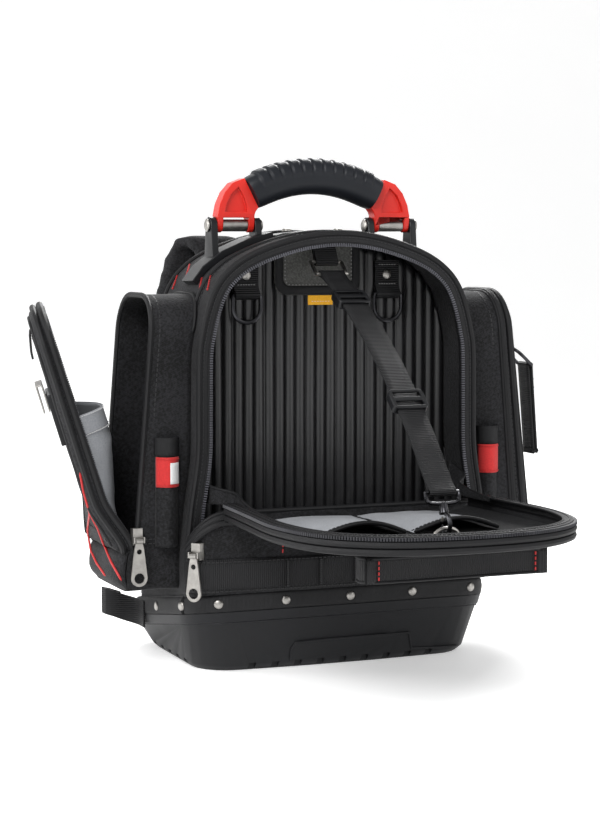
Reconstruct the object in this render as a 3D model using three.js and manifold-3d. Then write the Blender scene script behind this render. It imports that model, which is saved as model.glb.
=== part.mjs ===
// Tool backpack: an open, free-standing bag on a moulded tub, with a carrying handle,
// a main flap folded down on its stay strap, and two side pockets.
// Millimetres. +X is to the right of someone facing the bag, -Y is its front, +Z is up.
// The origin is the centre of the tub's flat bottom.
import * as THREE from 'three';
import { mergeVertices } from 'three/addons/utils/BufferGeometryUtils.js';
import Module from 'manifold-3d';

const wasm = await Module();
wasm.setup();

// Gaps and wall thicknesses
const FIT = 0.3;
const CLOTH = 2.6;
const THIN_CLOTH = 1.6;
const WEB = 2;

// How far a cutting tool goes past the face that it cuts
const PAST = 5;

// Moulded tub
const TUB_FLOOR_HALF_WIDTH = 137;
const TUB_FLOOR_FRONT = 84;
const TUB_FLOOR_BACK = 86;
const TUB_RIM_HALF_WIDTH = 148;
const TUB_RIM_FRONT = 99;
const TUB_RIM_BACK = 95;
const TUB_RIM_HEIGHT = 57;
const TUB_RIM_FALL = 0.162;
const TUB_CORNER = 38;
const TUB_BOW = 4;
const TUB_WALL = 3;
const TUB_FLOOR = 4;
const LIP_HEIGHT = 8;
const LIP_PROUD = 2;
const FLANGE_HEIGHT = 16;
const FLANGE_INSET = 2.4;
const TREAD_WIDTH = 7;
const TREAD_HEIGHT = 7;
const TREAD_DEPTH = 3.5;
const TREAD_PITCH = 22;
const PLATE_LEFT = -50;
const PLATE_RIGHT = 67;
const PLATE_HEIGHT = 24;
const PLATE_DEPTH = 1.5;
const RIVET_RADIUS = 4.8;
const RIVET_RISE = 3;
const RIVET_SUNK = 1.5;
const RIVET_SIDES = 7;

// Main shell and its opening
const ARCH_HALF_WIDTH = TUB_RIM_HALF_WIDTH;
const ARCH_TOP = 395;
const SHELL_FRONT = 79;
const SHELL_BACK = 88;
const SHELL_BACK_ROUND = 40;
const ZIP_TAPE_WIDTH = 11;
const ZIP_TAPE_THICKNESS = 1.8;

// Ribbed panel inside the main bay and what hangs on it
const PANEL_FRONT = 24;
const PANEL_THICKNESS = 9;
const RIB_PITCH = 10.3;
const RIB_DEPTH = 3.5;
const PATCH_HALF_WIDTH = 43;
const PATCH_BOTTOM = 337;
const PATCH_TOP = 383;
const PATCH_THICKNESS = 2.6;
const LABEL_LEFT = -9;
const LABEL_WIDTH = 25;
const LABEL_HEIGHT = 9;
const LABEL_THICKNESS = 1;
const TAB_X = 71;
const TAB_WIDTH = 24;
const TAB_TOP = 369;
const TAB_EYE_HEIGHT = 338;
const RING_WIRE = 1.6;
const RING_WIDTH = 31;
const RING_DROP = 26;

// Lower front panel
const APRON_FRONT = 101;
const APRON_THICKNESS = 3;
const APRON_FOLD = 147;
const APRON_SIDE_TOP = 110;
const APRON_CORNER = 24;
const APRON_CROWN = 30;
const APRON_WEB_BOTTOM = 75;
const APRON_WEB_HEIGHT = 30;

// Main flap, folded down level
const FLAP_REACH = 257;
const FLAP_INSET = 18;
const FLAP_HALF_WIDTH = ARCH_HALF_WIDTH - FLAP_INSET;
const FLAP_TOP = 154;
const FLAP_DEPTH = 18;
const FLAP_EDGE_HEIGHT = 13;
const FLAP_FLOOR_INSET = 30;
const FLAP_TAPE_WIDTH = 9;
const FLAP_POCKET_RISE = 11;
const FLAP_POCKET_INSET = 48;
const FLAP_POCKET_WIDTH = FLAP_HALF_WIDTH - FLAP_POCKET_INSET;
const FLAP_POCKET_LENGTH = 120;
const FLAP_BELT_HALF_WIDTH = 72;
const FLAP_BELT_HEIGHT = 21;
const FLAP_BELT_RETURN = 22;
const FLAP_BELT_SET_BACK = 37;
const WING_ROOT = 52;
const WING_TIP = 160;
const WING_RISE = 22;

// Handle
const PIN_Y = -14;
const PIN_ABOVE_CROWN = 6.5;
const PIN_Z = ARCH_TOP + PIN_ABOVE_CROWN;
const PIN_RADIUS = 5.6;
const SHAFT_RADIUS = 3;
const CAP_RADIUS = 6;
const CAP_LENGTH = 2.4;
const ARM_INSET = 69.4;
const ARM_CENTRE = ARCH_HALF_WIDTH - ARM_INSET;
const ARM_GAP = 25;
const ARM_EAR = 5.5;
const ARM_DEPTH = 15;
const BRACKET_EAR = 6.5;
const BRACKET_DEPTH = 30;
const BRACKET_THICKNESS = 6.5;
const BRACKET_OUTWARD = 40.4;
const BRACKET_INWARD = 34.6;
const BRACKET_FOOT = ARM_CENTRE + BRACKET_OUTWARD;
const BRACKET_INNER_FOOT = ARM_CENTRE - BRACKET_INWARD;
const HOLE_CLEARANCE = 0.6;
const GRIP_RISE = 61.5;
const GRIP_TOP = PIN_Z + GRIP_RISE;
const GRIP_HEIGHT = 33;
const GRIP_DEPTH = 30;
const GRIP_INSET = 16.1;
const GRIP_HALF_LENGTH = ARM_CENTRE - GRIP_INSET;
const GRIP_DROOP = 16;
const GRIP_RIBS = 11;
const GRIP_RIB_RISE = 1.4;
const TOP_PLATE_THICKNESS = 2;
const TOP_PLATE_DEPTH = 22;

// Side pockets
const POCKET_FRONT = 60;
const POCKET_BACK = 41;
const POCKET_BOTTOM = 74;
const POCKET_TOP = 339;
const POCKET_CORNER = 34;
const POCKET_TOP_DEPTH = 24;
const POCKET_TOP_REACH = ARCH_HALF_WIDTH + POCKET_TOP_DEPTH;
const DOOR_FOOT = 112;
const POCKET_FOOT_DEPTH = 42;
const POCKET_FOOT_REACH = ARCH_HALF_WIDTH + POCKET_FOOT_DEPTH;
const LEFT_BULGE = 17;
const RIGHT_BULGE = 17;
const LEFT_DOOR_DEPTH = 17;
const RIGHT_DOOR_DEPTH = 21;
const DOOR_TOP_DEPTH = 14;
const LEFT_DOOR_OPEN = 18;
const LEFT_DOOR_TWIST = 14;
const TWIST_END = 56;
const DOOR_POCKET_HEIGHT = 130;
const DOOR_POCKET_BULGE = 25;
const SLEEVE_WIDTH = 20;
const SLEEVE_TOP = 212;
const SLEEVE_BOTTOM = 114;
const SLEEVE_RISE = 9;
const SLEEVE_FROM_SHELL = 0.8;

// Tape clip and web tab on the left door, hanging strap on the right door
const CLIP_PLATE_FOOT = 105;
const CLIP_PLATE_HEIGHT = 48;
const CLIP_PLATE_WIDTH = 46;
const CLIP_PLATE_THICKNESS = 5;
const CLIP_WIDTH = 30;
const CLIP_HEIGHT = 26;
const CLIP_THICKNESS = 1.5;
const CLIP_STAND_OFF = 5;
const CLIP_ABOVE_PLATE = 10;
const DOOR_TAB_WIDTH = 14;
const DOOR_TAB_HEIGHT = 25;
const HANG_TAB_UP = 172;
const HANG_WIDTH = 25;
const HANG_LENGTH = 84;
const HANG_RING_LEAN = 42;
const HANG_FORWARD = 22;

// Stay strap
const STAY_ANCHOR_Y = -47;
const STAY_ANCHOR_Z = 368;
const STAY_TOP_Y = -60;
const STAY_TOP_Z = 357;
const STAY_FOOT_Y = -294;
const STAY_FOOT_Z = 182;
const STAY_BOW = 17;
const STAY_WIDTH = 24;
const STAY_THICKNESS = 3;
const BAR_RADIUS = 1.7;
const BUCKLE_WIDTH = 32;
const BUCKLE_LENGTH = 22;
const BUCKLE_THICKNESS = 8;
const BUCKLE_UPPER_AT = 0.17;
const BUCKLE_LOWER_AT = 0.67;
const HOOK_LEAN = 72;
const HOOK_WIRE = 2;
const HOOK_EYE_LENGTH = 9;
const HOOK_BARREL_LENGTH = 8;
const HOOK_BOW_RADIUS = 7.5;
const HOOK_REACH = 34.5;
const GATE_RADIUS = 1.3;
const FLAP_RING_WIDTH = 25;

// Zip pulls
const PULL_LENGTH = 41;
const PULL_TOP_WIDTH = 9;
const PULL_END_WIDTH = 15;
const PULL_THICKNESS = 1.8;
const SLIDER_WIDTH = 11;
const SLIDER_LENGTH = 15;
const SLIDER_THICKNESS = 5;
const SLIDER_BELOW_BAR = 4;
const SLIDER_EAR_IN = 3.8;
const SLIDER_EAR_OUT = 5.2;

// Back
const PAD_HALF_WIDTH = 104;
const PAD_BOTTOM = 92;
const PAD_TOP = 340;
const PAD_THICKNESS = 13;
const SHOULDER_WIDTH = 62;
const SHOULDER_THICKNESS = 11;
const LOWER_WEB_WIDTH = 25;
const TAIL_ROOT = 36;
const TAIL_REACH = 31;
const TAIL_RUN = 40;
const TAIL_RISE = 11;

// Finishes: colour, roughness and metalness
const FINISH = {
  cordura: [0x232326, 0.92, 0],
  webbing: [0x2b2b2e, 0.85, 0],
  grey_cloth: [0x85868a, 0.9, 0],
  patch_cloth: [0x6c6b66, 0.88, 0],
  tub_plastic: [0x3a3b3f, 0.6, 0],
  black_plastic: [0x2a2b2f, 0.5, 0],
  grip_rubber: [0x2e3034, 0.7, 0],
  red_plastic: [0xe8392c, 0.42, 0],
  orange_cloth: [0xf29a1c, 0.8, 0],
  bright_steel: [0xc8c6c0, 0.3, 1],
  black_steel: [0x17171a, 0.35, 1],
};

const backpack = new THREE.Group();
const finishes = {};
for (const [name, [colour, roughness, metalness]] of Object.entries(FINISH)) {
  finishes[name] = new THREE.MeshStandardMaterial({ color: colour, roughness, metalness });
  finishes[name].name = name;
}

const lerp = THREE.MathUtils.lerp;
const radians = THREE.MathUtils.degToRad;
const range = (count, make) => Array.from({ length: count }, (unused, i) => make(i));

function addPiece(name, shape, finish, parent = backpack) {
  const geometry = shape.isBufferGeometry ? shape : fromSolid(shape);
  geometry.computeVertexNormals();
  const piece = new THREE.Mesh(geometry, finishes[finish]);
  piece.name = name;
  parent.add(piece);
  return piece;
}

// Booleans

function toSolid(geometry) {
  const bare = new THREE.BufferGeometry();
  bare.setAttribute('position', geometry.getAttribute('position').clone());
  if (geometry.index) bare.setIndex(geometry.index.clone());
  const merged = mergeVertices(bare, 1e-4);
  return new wasm.Manifold(new wasm.Mesh({
    numProp: 3,
    vertProperties: new Float32Array(merged.getAttribute('position').array),
    triVerts: new Uint32Array(merged.index.array),
  }));
}

function fromSolid(solid) {
  const mesh = solid.getMesh();
  const geometry = new THREE.BufferGeometry();
  geometry.setAttribute('position', new THREE.BufferAttribute(mesh.vertProperties, 3));
  geometry.setIndex(new THREE.BufferAttribute(mesh.triVerts, 1));
  return geometry;
}

const cut = (body, ...tools) => tools.reduce((left, tool) => left.subtract(toSolid(tool)), body);
const join = (body, ...others) => others.reduce((sum, other) => sum.add(toSolid(other)), body);

// Skins: rings of points, each with the same count and the same sense of turning

function ringNormal(ring) {
  const normal = new THREE.Vector3();
  ring.forEach(([x0, y0, z0], i) => {
    const [x1, y1, z1] = ring[(i + 1) % ring.length];
    normal.x += (y0 - y1) * (z0 + z1);
    normal.y += (z0 - z1) * (x0 + x1);
    normal.z += (x0 - x1) * (y0 + y1);
  });
  return normal.normalize();
}

const turnOf = (a, b, c) => (b.x - a.x) * (c.y - a.y) - (c.x - a.x) * (b.y - a.y);

// Cuts a flat outline into triangles, the best shaped ear first, and keeps every point in use
function cutEars(flat) {
  const left = [...flat.keys()];
  const faces = [];
  while (left.length > 3) {
    let best = { at: 0, score: -Infinity };
    left.forEach((corner, at) => {
      const [a, b, c] = [left[(at + left.length - 1) % left.length], corner, left[(at + 1) % left.length]];
      const [p, q, r] = [flat[a], flat[b], flat[c]];
      const turn = turnOf(p, q, r);
      const sides = [[p, q], [q, r], [r, p]];
      const within = (other) => sides.every(([s, e]) => turnOf(s, e, flat[other]) >= -1e-9);
      const blocked = turn <= 1e-9 || left.some((other) => ![a, b, c].includes(other) && within(other));
      const longest = Math.max(p.distanceToSquared(q), q.distanceToSquared(r), r.distanceToSquared(p));
      const score = turn / longest - (blocked ? 1e6 : 0);
      if (score > best.score) best = { at, score };
    });
    const { at } = best;
    faces.push([left[(at + left.length - 1) % left.length], left[at], left[(at + 1) % left.length]]);
    left.splice(at, 1);
  }
  return [...faces, left];
}

function capFaces(ring, offset, sense) {
  const normal = ringNormal(ring);
  const along = new THREE.Vector3(...ring[1]).sub(new THREE.Vector3(...ring[0])).normalize();
  along.addScaledVector(normal, -normal.dot(along)).normalize();
  const across = new THREE.Vector3().crossVectors(normal, along);
  const flat = ring.map((point) => {
    const place = new THREE.Vector3(...point);
    return new THREE.Vector2(place.dot(along), place.dot(across));
  });
  const turned = ([a, b, c]) => (sense > 0 ? [a, b, c] : [a, c, b]);
  return cutEars(flat).map((face) => turned(face).map((corner) => corner + offset));
}

function skin(rings, loop = false) {
  const count = rings[0].length;
  const faces = [];
  const spans = loop ? rings.length : rings.length - 1;
  for (let i = 0; i < spans; i += 1) {
    const low = i * count;
    const high = ((i + 1) % rings.length) * count;
    for (let j = 0; j < count; j += 1) {
      const next = (j + 1) % count;
      faces.push([low + j, low + next, high + next], [low + j, high + next, high + j]);
    }
  }
  if (!loop) {
    faces.push(...capFaces(rings[0], 0, -1));
    faces.push(...capFaces(rings[rings.length - 1], (rings.length - 1) * count, 1));
  }
  const points = rings.flat();
  const volume = faces.reduce((sum, [a, b, c]) => {
    const [p, q, r] = [a, b, c].map((corner) => new THREE.Vector3(...points[corner]));
    return sum + p.dot(q.cross(r));
  }, 0);
  const geometry = new THREE.BufferGeometry();
  geometry.setAttribute('position', new THREE.Float32BufferAttribute(points.flat(), 3));
  geometry.setIndex((volume > 0 ? faces : faces.map(([a, b, c]) => [a, c, b])).flat());
  return geometry;
}

// A flat outline, drawn in the plane across the named axis and pulled along it
const PLACE = {
  x: (at, [u, v]) => [at, u, v],
  y: (at, [u, v]) => [u, at, v],
  z: (at, [u, v]) => [u, v, at],
};
const slab = (outline, axis, from, to) => (
  skin([from, to].map((at) => outline.map((point) => PLACE[axis](at, point))))
);

const box = (x0, x1, y0, y1, z0, z1) => slab([[x0, y0], [x1, y0], [x1, y1], [x0, y1]], 'z', z0, z1);

// A strap: a flat band along a path of points, its width always along the one direction across
function strap(path, width, thickness, across = new THREE.Vector3(1, 0, 0)) {
  const points = path.map((p) => new THREE.Vector3(...p));
  return skin(points.map((point, i) => {
    const before = points[Math.max(i - 1, 0)];
    const after = points[Math.min(i + 1, points.length - 1)];
    const along = new THREE.Vector3().subVectors(after, before);
    const face = new THREE.Vector3().crossVectors(along, across).normalize();
    const half = (Array.isArray(width) ? width[i] : width) / 2;
    const thick = (Array.isArray(thickness) ? thickness[i] : thickness) / 2;
    return [[-1, -1], [1, -1], [1, 1], [-1, 1]].map(([u, v]) => point.clone()
      .addScaledVector(across, u * half).addScaledVector(face, v * thick).toArray());
  }));
}

// A round wire along a path that lies in one plane
function wire(path, radius, planeNormal, loop = false, sides = 6) {
  const points = path.map((p) => new THREE.Vector3(...p));
  const last = points.length - 1;
  return skin(points.map((point, i) => {
    const before = loop ? points[(i + last) % points.length] : points[Math.max(i - 1, 0)];
    const after = loop ? points[(i + 1) % points.length] : points[Math.min(i + 1, last)];
    const along = new THREE.Vector3().subVectors(after, before).normalize();
    const out = new THREE.Vector3().crossVectors(along, planeNormal).normalize();
    return range(sides, (k) => {
      const angle = (2 * Math.PI * (k + 0.5)) / sides;
      return point.clone().addScaledVector(out, radius * Math.cos(angle))
        .addScaledVector(planeNormal, radius * Math.sin(angle)).toArray();
    });
  }), loop);
}

const arc = (cx, cy, radius, from, to, steps) => range(steps + 1, (i) => {
  const angle = radians(lerp(from, to, i / steps));
  return [cx + radius * Math.cos(angle), cy + radius * Math.sin(angle)];
});

// Moves each point of an open or closed flat outline along its normal, to its right
function offsetOutline(outline, distance, closed = false) {
  const last = outline.length - 1;
  return outline.map(([u, v], i) => {
    const [u0, v0] = outline[closed ? (i + last) % outline.length : Math.max(i - 1, 0)];
    const [u1, v1] = outline[closed ? (i + 1) % outline.length : Math.min(i + 1, last)];
    const length = Math.hypot(u1 - u0, v1 - v0);
    return [u + (distance * (v1 - v0)) / length, v - (distance * (u1 - u0)) / length];
  });
}

// The tub's plan: corners joined by arcs, with the front edge bowed forward
function tubPlan(share, grow) {
  const halfWidth = lerp(TUB_FLOOR_HALF_WIDTH, TUB_RIM_HALF_WIDTH, share) + grow;
  const front = lerp(TUB_FLOOR_FRONT, TUB_RIM_FRONT, share) + grow;
  const back = lerp(TUB_FLOOR_BACK, TUB_RIM_BACK, share) + grow;
  const corner = TUB_CORNER + grow;
  const x = halfWidth - corner;
  const plan = [
    ...arc(x, -front + corner, corner, -90, 0, 5),
    ...arc(x, back - corner, corner, 0, 90, 5),
    ...arc(-x, back - corner, corner, 90, 180, 5),
    ...arc(-x, -front + corner, corner, 180, 270, 5),
  ];
  const bowed = range(5, (i) => {
    const side = lerp(-1, 1, (i + 1) / 6);
    return [x * side, -front - TUB_BOW * (1 - side * side)];
  });
  return [...plan, ...bowed];
}

const rimHeight = (y) => TUB_RIM_HEIGHT - TUB_RIM_FALL * (y + TUB_RIM_FRONT);
const seatHeight = (y) => rimHeight(y) + FLANGE_HEIGHT + FIT;

function makeTub() {
  const outside = [
    { rise: 0, above: 0, share: 0, grow: -5 },
    { rise: 0, above: 5, share: 0.06, grow: 0 },
    { rise: 1, above: -LIP_HEIGHT - 2, share: 0.82, grow: 0 },
    { rise: 1, above: -LIP_HEIGHT, share: 0.86, grow: LIP_PROUD },
    { rise: 1, above: 0, share: 1, grow: LIP_PROUD },
    { rise: 1, above: 0, share: 1, grow: -FLANGE_INSET },
    { rise: 1, above: FLANGE_HEIGHT, share: 1, grow: -FLANGE_INSET },
  ];
  const inside = [
    { rise: 0, above: TUB_FLOOR, share: 0, grow: -TUB_WALL - 3 },
    { rise: 0, above: TUB_FLOOR + 6, share: 0.1, grow: -TUB_WALL },
    { rise: 1, above: -LIP_HEIGHT, share: 0.84, grow: -TUB_WALL },
    { rise: 1, above: 0, share: 1, grow: -TUB_WALL - FLANGE_INSET },
    { rise: 1, above: FLANGE_HEIGHT + PAST, share: 1, grow: -TUB_WALL - FLANGE_INSET },
  ];
  const rings = (rows) => rows.map(({ rise, above, share, grow }) => tubPlan(share, grow)
    .map(([x, y]) => [x, y, rise * rimHeight(y) + above]));
  const treads = [];
  const treadAt = (x, y, turn) => {
    const tool = box(-TREAD_WIDTH / 2, TREAD_WIDTH / 2, -TREAD_DEPTH, TREAD_DEPTH * 3, -1, TREAD_HEIGHT);
    treads.push(tool.rotateZ(turn).translate(x, y, 0));
  };
  const straight = TUB_FLOOR_HALF_WIDTH - TUB_CORNER;
  const across = Math.floor(straight / TREAD_PITCH);
  for (let i = -across; i <= across; i += 1) {
    const bow = TUB_BOW * (1 - ((i * TREAD_PITCH) / straight) ** 2);
    treadAt(i * TREAD_PITCH, -TUB_FLOOR_FRONT - bow, Math.PI);
  }
  const along = Math.floor((TUB_FLOOR_FRONT - TUB_CORNER) / TREAD_PITCH);
  for (let i = -along; i <= along; i += 1) {
    treadAt(TUB_FLOOR_HALF_WIDTH, i * TREAD_PITCH, -Math.PI / 2);
    treadAt(-TUB_FLOOR_HALF_WIDTH, i * TREAD_PITCH, Math.PI / 2);
  }
  const lean = Math.atan2(TUB_RIM_FRONT - TUB_FLOOR_FRONT, TUB_RIM_HEIGHT);
  const plate = box(PLATE_LEFT, PLATE_RIGHT, -4 * PAST, PLATE_DEPTH - TUB_BOW, -PAST, PLATE_HEIGHT)
    .rotateX(lean).translate(0, -TUB_FLOOR_FRONT, 0);
  return cut(toSolid(skin(rings(outside))), skin(rings(inside)), ...treads, plate);
}

// Rivets round the band: how many on each side, and how far out the end ones lie
const RIVET_ROWS = [
  { side: 'front', count: 5, reach: 125 },
  { side: 'back', count: 5, reach: 125 },
  { side: 'left', count: 3, reach: 69 },
  { side: 'right', count: 3, reach: 69 },
];

// Where a plan's outline crosses a place along one side, and the way it faces there
function onPlan(plan, side, place) {
  const wide = side === 'front' || side === 'back';
  const sign = side === 'front' || side === 'left' ? -1 : 1;
  const crossings = plan.map((start, i) => [start, plan[(i + 1) % plan.length]]).flatMap(([start, end]) => {
    const [s, e] = wide ? [start[0], end[0]] : [start[1], end[1]];
    if ((s - place) * (e - place) > 0 || s === e) return [];
    const share = (place - s) / (e - s);
    const x = lerp(start[0], end[0], share);
    const y = lerp(start[1], end[1], share);
    return [{ x, y, turn: Math.atan2(end[1] - start[1], end[0] - start[0]) }];
  });
  return crossings.sort((p, q) => sign * ((wide ? q.y : q.x) - (wide ? p.y : p.x)))[0];
}

const rivetPlaces = () => RIVET_ROWS.flatMap(({ side, count, reach }) => range(count, (i) => (
  onPlan(tubPlan(1, LIP_PROUD), side, lerp(-reach, reach, i / (count - 1)))
)));

function makeRivetBand() {
  const rows = [
    { above: FIT, grow: LIP_PROUD },
    { above: FLANGE_HEIGHT, grow: LIP_PROUD },
    { above: FLANGE_HEIGHT, grow: FIT - FLANGE_INSET },
    { above: FIT, grow: FIT - FLANGE_INSET },
  ];
  const rings = rows.map(({ above, grow }) => tubPlan(1, grow).map(([x, y]) => [x, y, rimHeight(y) + above]));
  const domes = rivetPlaces().map(({ x, y, turn }) => {
    const profile = [
      [0, -RIVET_SUNK], [RIVET_RADIUS, -RIVET_SUNK], [RIVET_RADIUS, RIVET_RISE * 0.2],
      [RIVET_RADIUS * 0.6, RIVET_RISE * 0.8], [0, RIVET_RISE],
    ];
    return new THREE.LatheGeometry(profile.map(([r, h]) => new THREE.Vector2(r, h)), RIVET_SIDES)
      .rotateX(Math.PI).rotateZ(turn).translate(x, y, rimHeight(y) + FLANGE_HEIGHT / 2);
  });
  return join(toSolid(skin(rings, true)), ...domes);
}

// The arch of the shell's front view, as shares of its half width and its height
const ARCH = [
  { out: 1.0, up: 0.185 },
  { out: 1.0, up: 0.27 },
  { out: 0.975, up: 0.37 },
  { out: 0.928, up: 0.49 },
  { out: 0.922, up: 0.6 },
  { out: 0.918, up: 0.72 },
  { out: 0.9, up: 0.77 },
  { out: 0.865, up: 0.825 },
  { out: 0.815, up: 0.873 },
  { out: 0.74, up: 0.91 },
  { out: 0.62, up: 0.943 },
  { out: 0.45, up: 0.97 },
  { out: 0.23, up: 0.992 },
  { out: 0, up: 1 },
];

// Points of the arch from the right foot over the crown to the left foot, moved in by an inset
function archLine(inset = 0, above = 0) {
  const rows = ARCH.map(({ out, up }) => [out * ARCH_HALF_WIDTH, up * ARCH_TOP]);
  const start = above > rows[0][1] ? [[archReach(above), above]] : [];
  const right = [...start, ...rows.filter(([, z]) => z > above + FIT)];
  const left = right.slice(0, -1).reverse().map(([x, z]) => [-x, z]);
  return offsetOutline([...right, ...left], -inset);
}

// The shell's half width at a height, for what is fitted against its side
function archReach(z) {
  const rows = ARCH.map(({ out, up }) => ({ x: out * ARCH_HALF_WIDTH, z: up * ARCH_TOP }));
  const upper = Math.max(1, rows.findIndex((row) => row.z >= z));
  const [low, high] = [rows[upper - 1], rows[upper]];
  return lerp(low.x, high.x, THREE.MathUtils.clamp((z - low.z) / (high.z - low.z), 0, 1));
}

function archRing(y, inset, bottom) {
  const line = archLine(inset);
  line[0][1] = bottom;
  line[line.length - 1][1] = bottom;
  return line.map(([x, z]) => [x, y, z]);
}

function shellRings(inset, front, back, lift) {
  const round = SHELL_BACK_ROUND - inset;
  const turned = [0, 30, 55, 75, 90].map((angle) => ({
    y: back - round + round * Math.sin(radians(angle)),
    more: round * (1 - Math.cos(radians(angle))),
  }));
  const sections = [{ y: front, more: 0 }, ...turned];
  return sections.map(({ y, more }) => archRing(y, inset + more, seatHeight(y) + lift));
}

function makeShell() {
  const outer = shellRings(0, -SHELL_FRONT, SHELL_BACK, 0);
  const inner = shellRings(CLOTH, -SHELL_FRONT - 1, SHELL_BACK - CLOTH, -1);
  return cut(toSolid(skin(outer)), skin(inner));
}

function makeMainTape() {
  const foot = apronTop(ARCH_HALF_WIDTH - APRON_THICKNESS - 2) + FIT;
  const outer = archLine(0.6, foot);
  const inner = archLine(ZIP_TAPE_WIDTH, foot).reverse();
  const front = -SHELL_FRONT - FIT;
  return slab([...outer, ...inner], 'y', front - ZIP_TAPE_THICKNESS, front);
}

// Ribbed panel: a wavy plan pulled up, cut to the arch
function makeRibbedPanel() {
  const reach = ARCH_HALF_WIDTH;
  const ribs = Math.ceil(reach / RIB_PITCH);
  const front = -PANEL_FRONT;
  const plan = [];
  for (let i = -ribs; i < ribs; i += 1) {
    const x = i * RIB_PITCH;
    plan.push([x, front + RIB_DEPTH]);
    plan.push([x + RIB_PITCH * 0.18, front]);
    plan.push([x + RIB_PITCH * 0.82, front]);
  }
  const back = front + PANEL_THICKNESS;
  plan.push([ribs * RIB_PITCH, front + RIB_DEPTH], [ribs * RIB_PITCH, back], [-ribs * RIB_PITCH, back]);
  const foot = seatHeight(front) + 1;
  const limits = [front - 1, back + 1].map((y) => archRing(y, CLOTH + FIT, foot));
  return toSolid(slab(plan, 'z', foot - PAST, ARCH_TOP)).intersect(toSolid(skin(limits)));
}

const RING_Y = -PANEL_FRONT - FIT - 4;

// A web tab with an eye at its lower end
function makeRingTab(x) {
  const back = -PANEL_FRONT - FIT;
  const eye = RING_WIRE + 0.5;
  const outline = [
    [back, TAB_TOP], [back, TAB_EYE_HEIGHT - 5],
    ...arc(RING_Y, TAB_EYE_HEIGHT, eye + 1.5, 300, 180, 4).slice(1),
    [back - WEB, TAB_EYE_HEIGHT + 8], [back - WEB, TAB_TOP],
  ];
  const hole = slab(arc(RING_Y, TAB_EYE_HEIGHT, eye, 0, 315, 7), 'x', x - TAB_WIDTH, x + TAB_WIDTH);
  return cut(toSolid(slab(outline, 'x', x - TAB_WIDTH / 2, x + TAB_WIDTH / 2)), hole);
}

// A D-ring: a straight bar above and a round bow below, as a closed wire
function ringPath(width, drop) {
  const half = width / 2 - RING_WIRE;
  return [
    [-half, 0], [half, 0],
    ...arc(0, -(drop - half), half, 0, -180, 8).map(([u, v]) => [u, v]),
  ];
}

const makeRing = (x) => wire(
  ringPath(RING_WIDTH, RING_DROP).map(([u, v]) => [x + u, RING_Y, TAB_EYE_HEIGHT + v]),
  RING_WIRE, new THREE.Vector3(0, 1, 0), true,
);

function makePatch() {
  const corner = 12;
  const x = PATCH_HALF_WIDTH - corner;
  const outline = [
    [-PATCH_HALF_WIDTH, PATCH_TOP],
    ...arc(-x, PATCH_BOTTOM + corner, corner, 180, 270, 3),
    ...arc(x, PATCH_BOTTOM + corner, corner, 270, 360, 3),
    [PATCH_HALF_WIDTH, PATCH_TOP],
  ];
  const back = -PANEL_FRONT - FIT;
  return slab(outline, 'y', back - PATCH_THICKNESS, back);
}

const makeLabel = () => box(
  LABEL_LEFT, LABEL_LEFT + LABEL_WIDTH,
  -PANEL_FRONT - FIT - LABEL_THICKNESS, -PANEL_FRONT - FIT,
  PATCH_BOTTOM - FIT - LABEL_HEIGHT, PATCH_BOTTOM - FIT,
);

// Lower front panel: it leaves the shell's front edge, turns the corner and crosses the front

function apronPath(grow) {
  const reach = ARCH_HALF_WIDTH - 1;
  const x = reach - APRON_CORNER;
  const right = arc(x, -APRON_FRONT + APRON_CORNER, APRON_CORNER, 0, -90, 5);
  right[0][1] = -SHELL_FRONT - FIT;
  const bow = [0.66, 0.33, 0].map((side) => [x * side, -APRON_FRONT - TUB_BOW * (1 - side * side)]);
  const half = [...right, ...bow];
  const left = half.slice(0, -1).reverse().map(([u, v]) => [-u, v]);
  return offsetOutline([...half, ...left], -grow);
}

function apronTop(x) {
  const into = THREE.MathUtils.clamp((ARCH_HALF_WIDTH - Math.abs(x)) / APRON_CROWN, 0, 1);
  return lerp(APRON_SIDE_TOP, APRON_FOLD, Math.sqrt(1 - (1 - into) ** 2));
}

function apronWall(outer, inner, low, high) {
  const front = apronPath(outer);
  const back = apronPath(inner);
  back[0][1] = front[0][1];
  back[back.length - 1][1] = front[0][1];
  return skin(front.map(([x, y], i) => {
    const [bx, by] = back[i];
    return [[x, y, low(x, y)], [x, y, high(x, y)], [bx, by, high(x, y)], [bx, by, low(x, y)]];
  }));
}

const makeApron = () => apronWall(0, -APRON_THICKNESS, (x, y) => seatHeight(y), (x) => apronTop(x));

const makeApronWeb = () => apronWall(
  FIT + WEB, FIT, () => APRON_WEB_BOTTOM, () => APRON_WEB_BOTTOM + APRON_WEB_HEIGHT,
);

// Flap, laid forward from the fold

const FLAP_ROOT = APRON_FRONT + TUB_BOW + FIT;
const FLAP_BOTTOM = FLAP_TOP - FLAP_DEPTH;

// The flap's edge in plan, as shares of its half width and of its reach
const FLAP_EDGE = [
  { out: 0.93, along: 0 },
  { out: 0.945, along: 0.12 },
  { out: 0.97, along: 0.3 },
  { out: 1, along: 0.5 },
  { out: 0.985, along: 0.62 },
  { out: 0.94, along: 0.73 },
  { out: 0.86, along: 0.82 },
  { out: 0.74, along: 0.89 },
  { out: 0.58, along: 0.945 },
  { out: 0.39, along: 0.98 },
  { out: 0.2, along: 0.995 },
  { out: 0, along: 1 },
];

function flapLine(inset) {
  const right = FLAP_EDGE.map(({ out, along }) => [out * FLAP_HALF_WIDTH, -FLAP_ROOT - along * FLAP_REACH]);
  const left = right.slice(0, -1).reverse().map(([x, y]) => [-x, y]);
  const line = offsetOutline([...right, ...left], inset);
  line[0][1] = -FLAP_ROOT;
  line[line.length - 1][1] = -FLAP_ROOT;
  return line;
}

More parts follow.
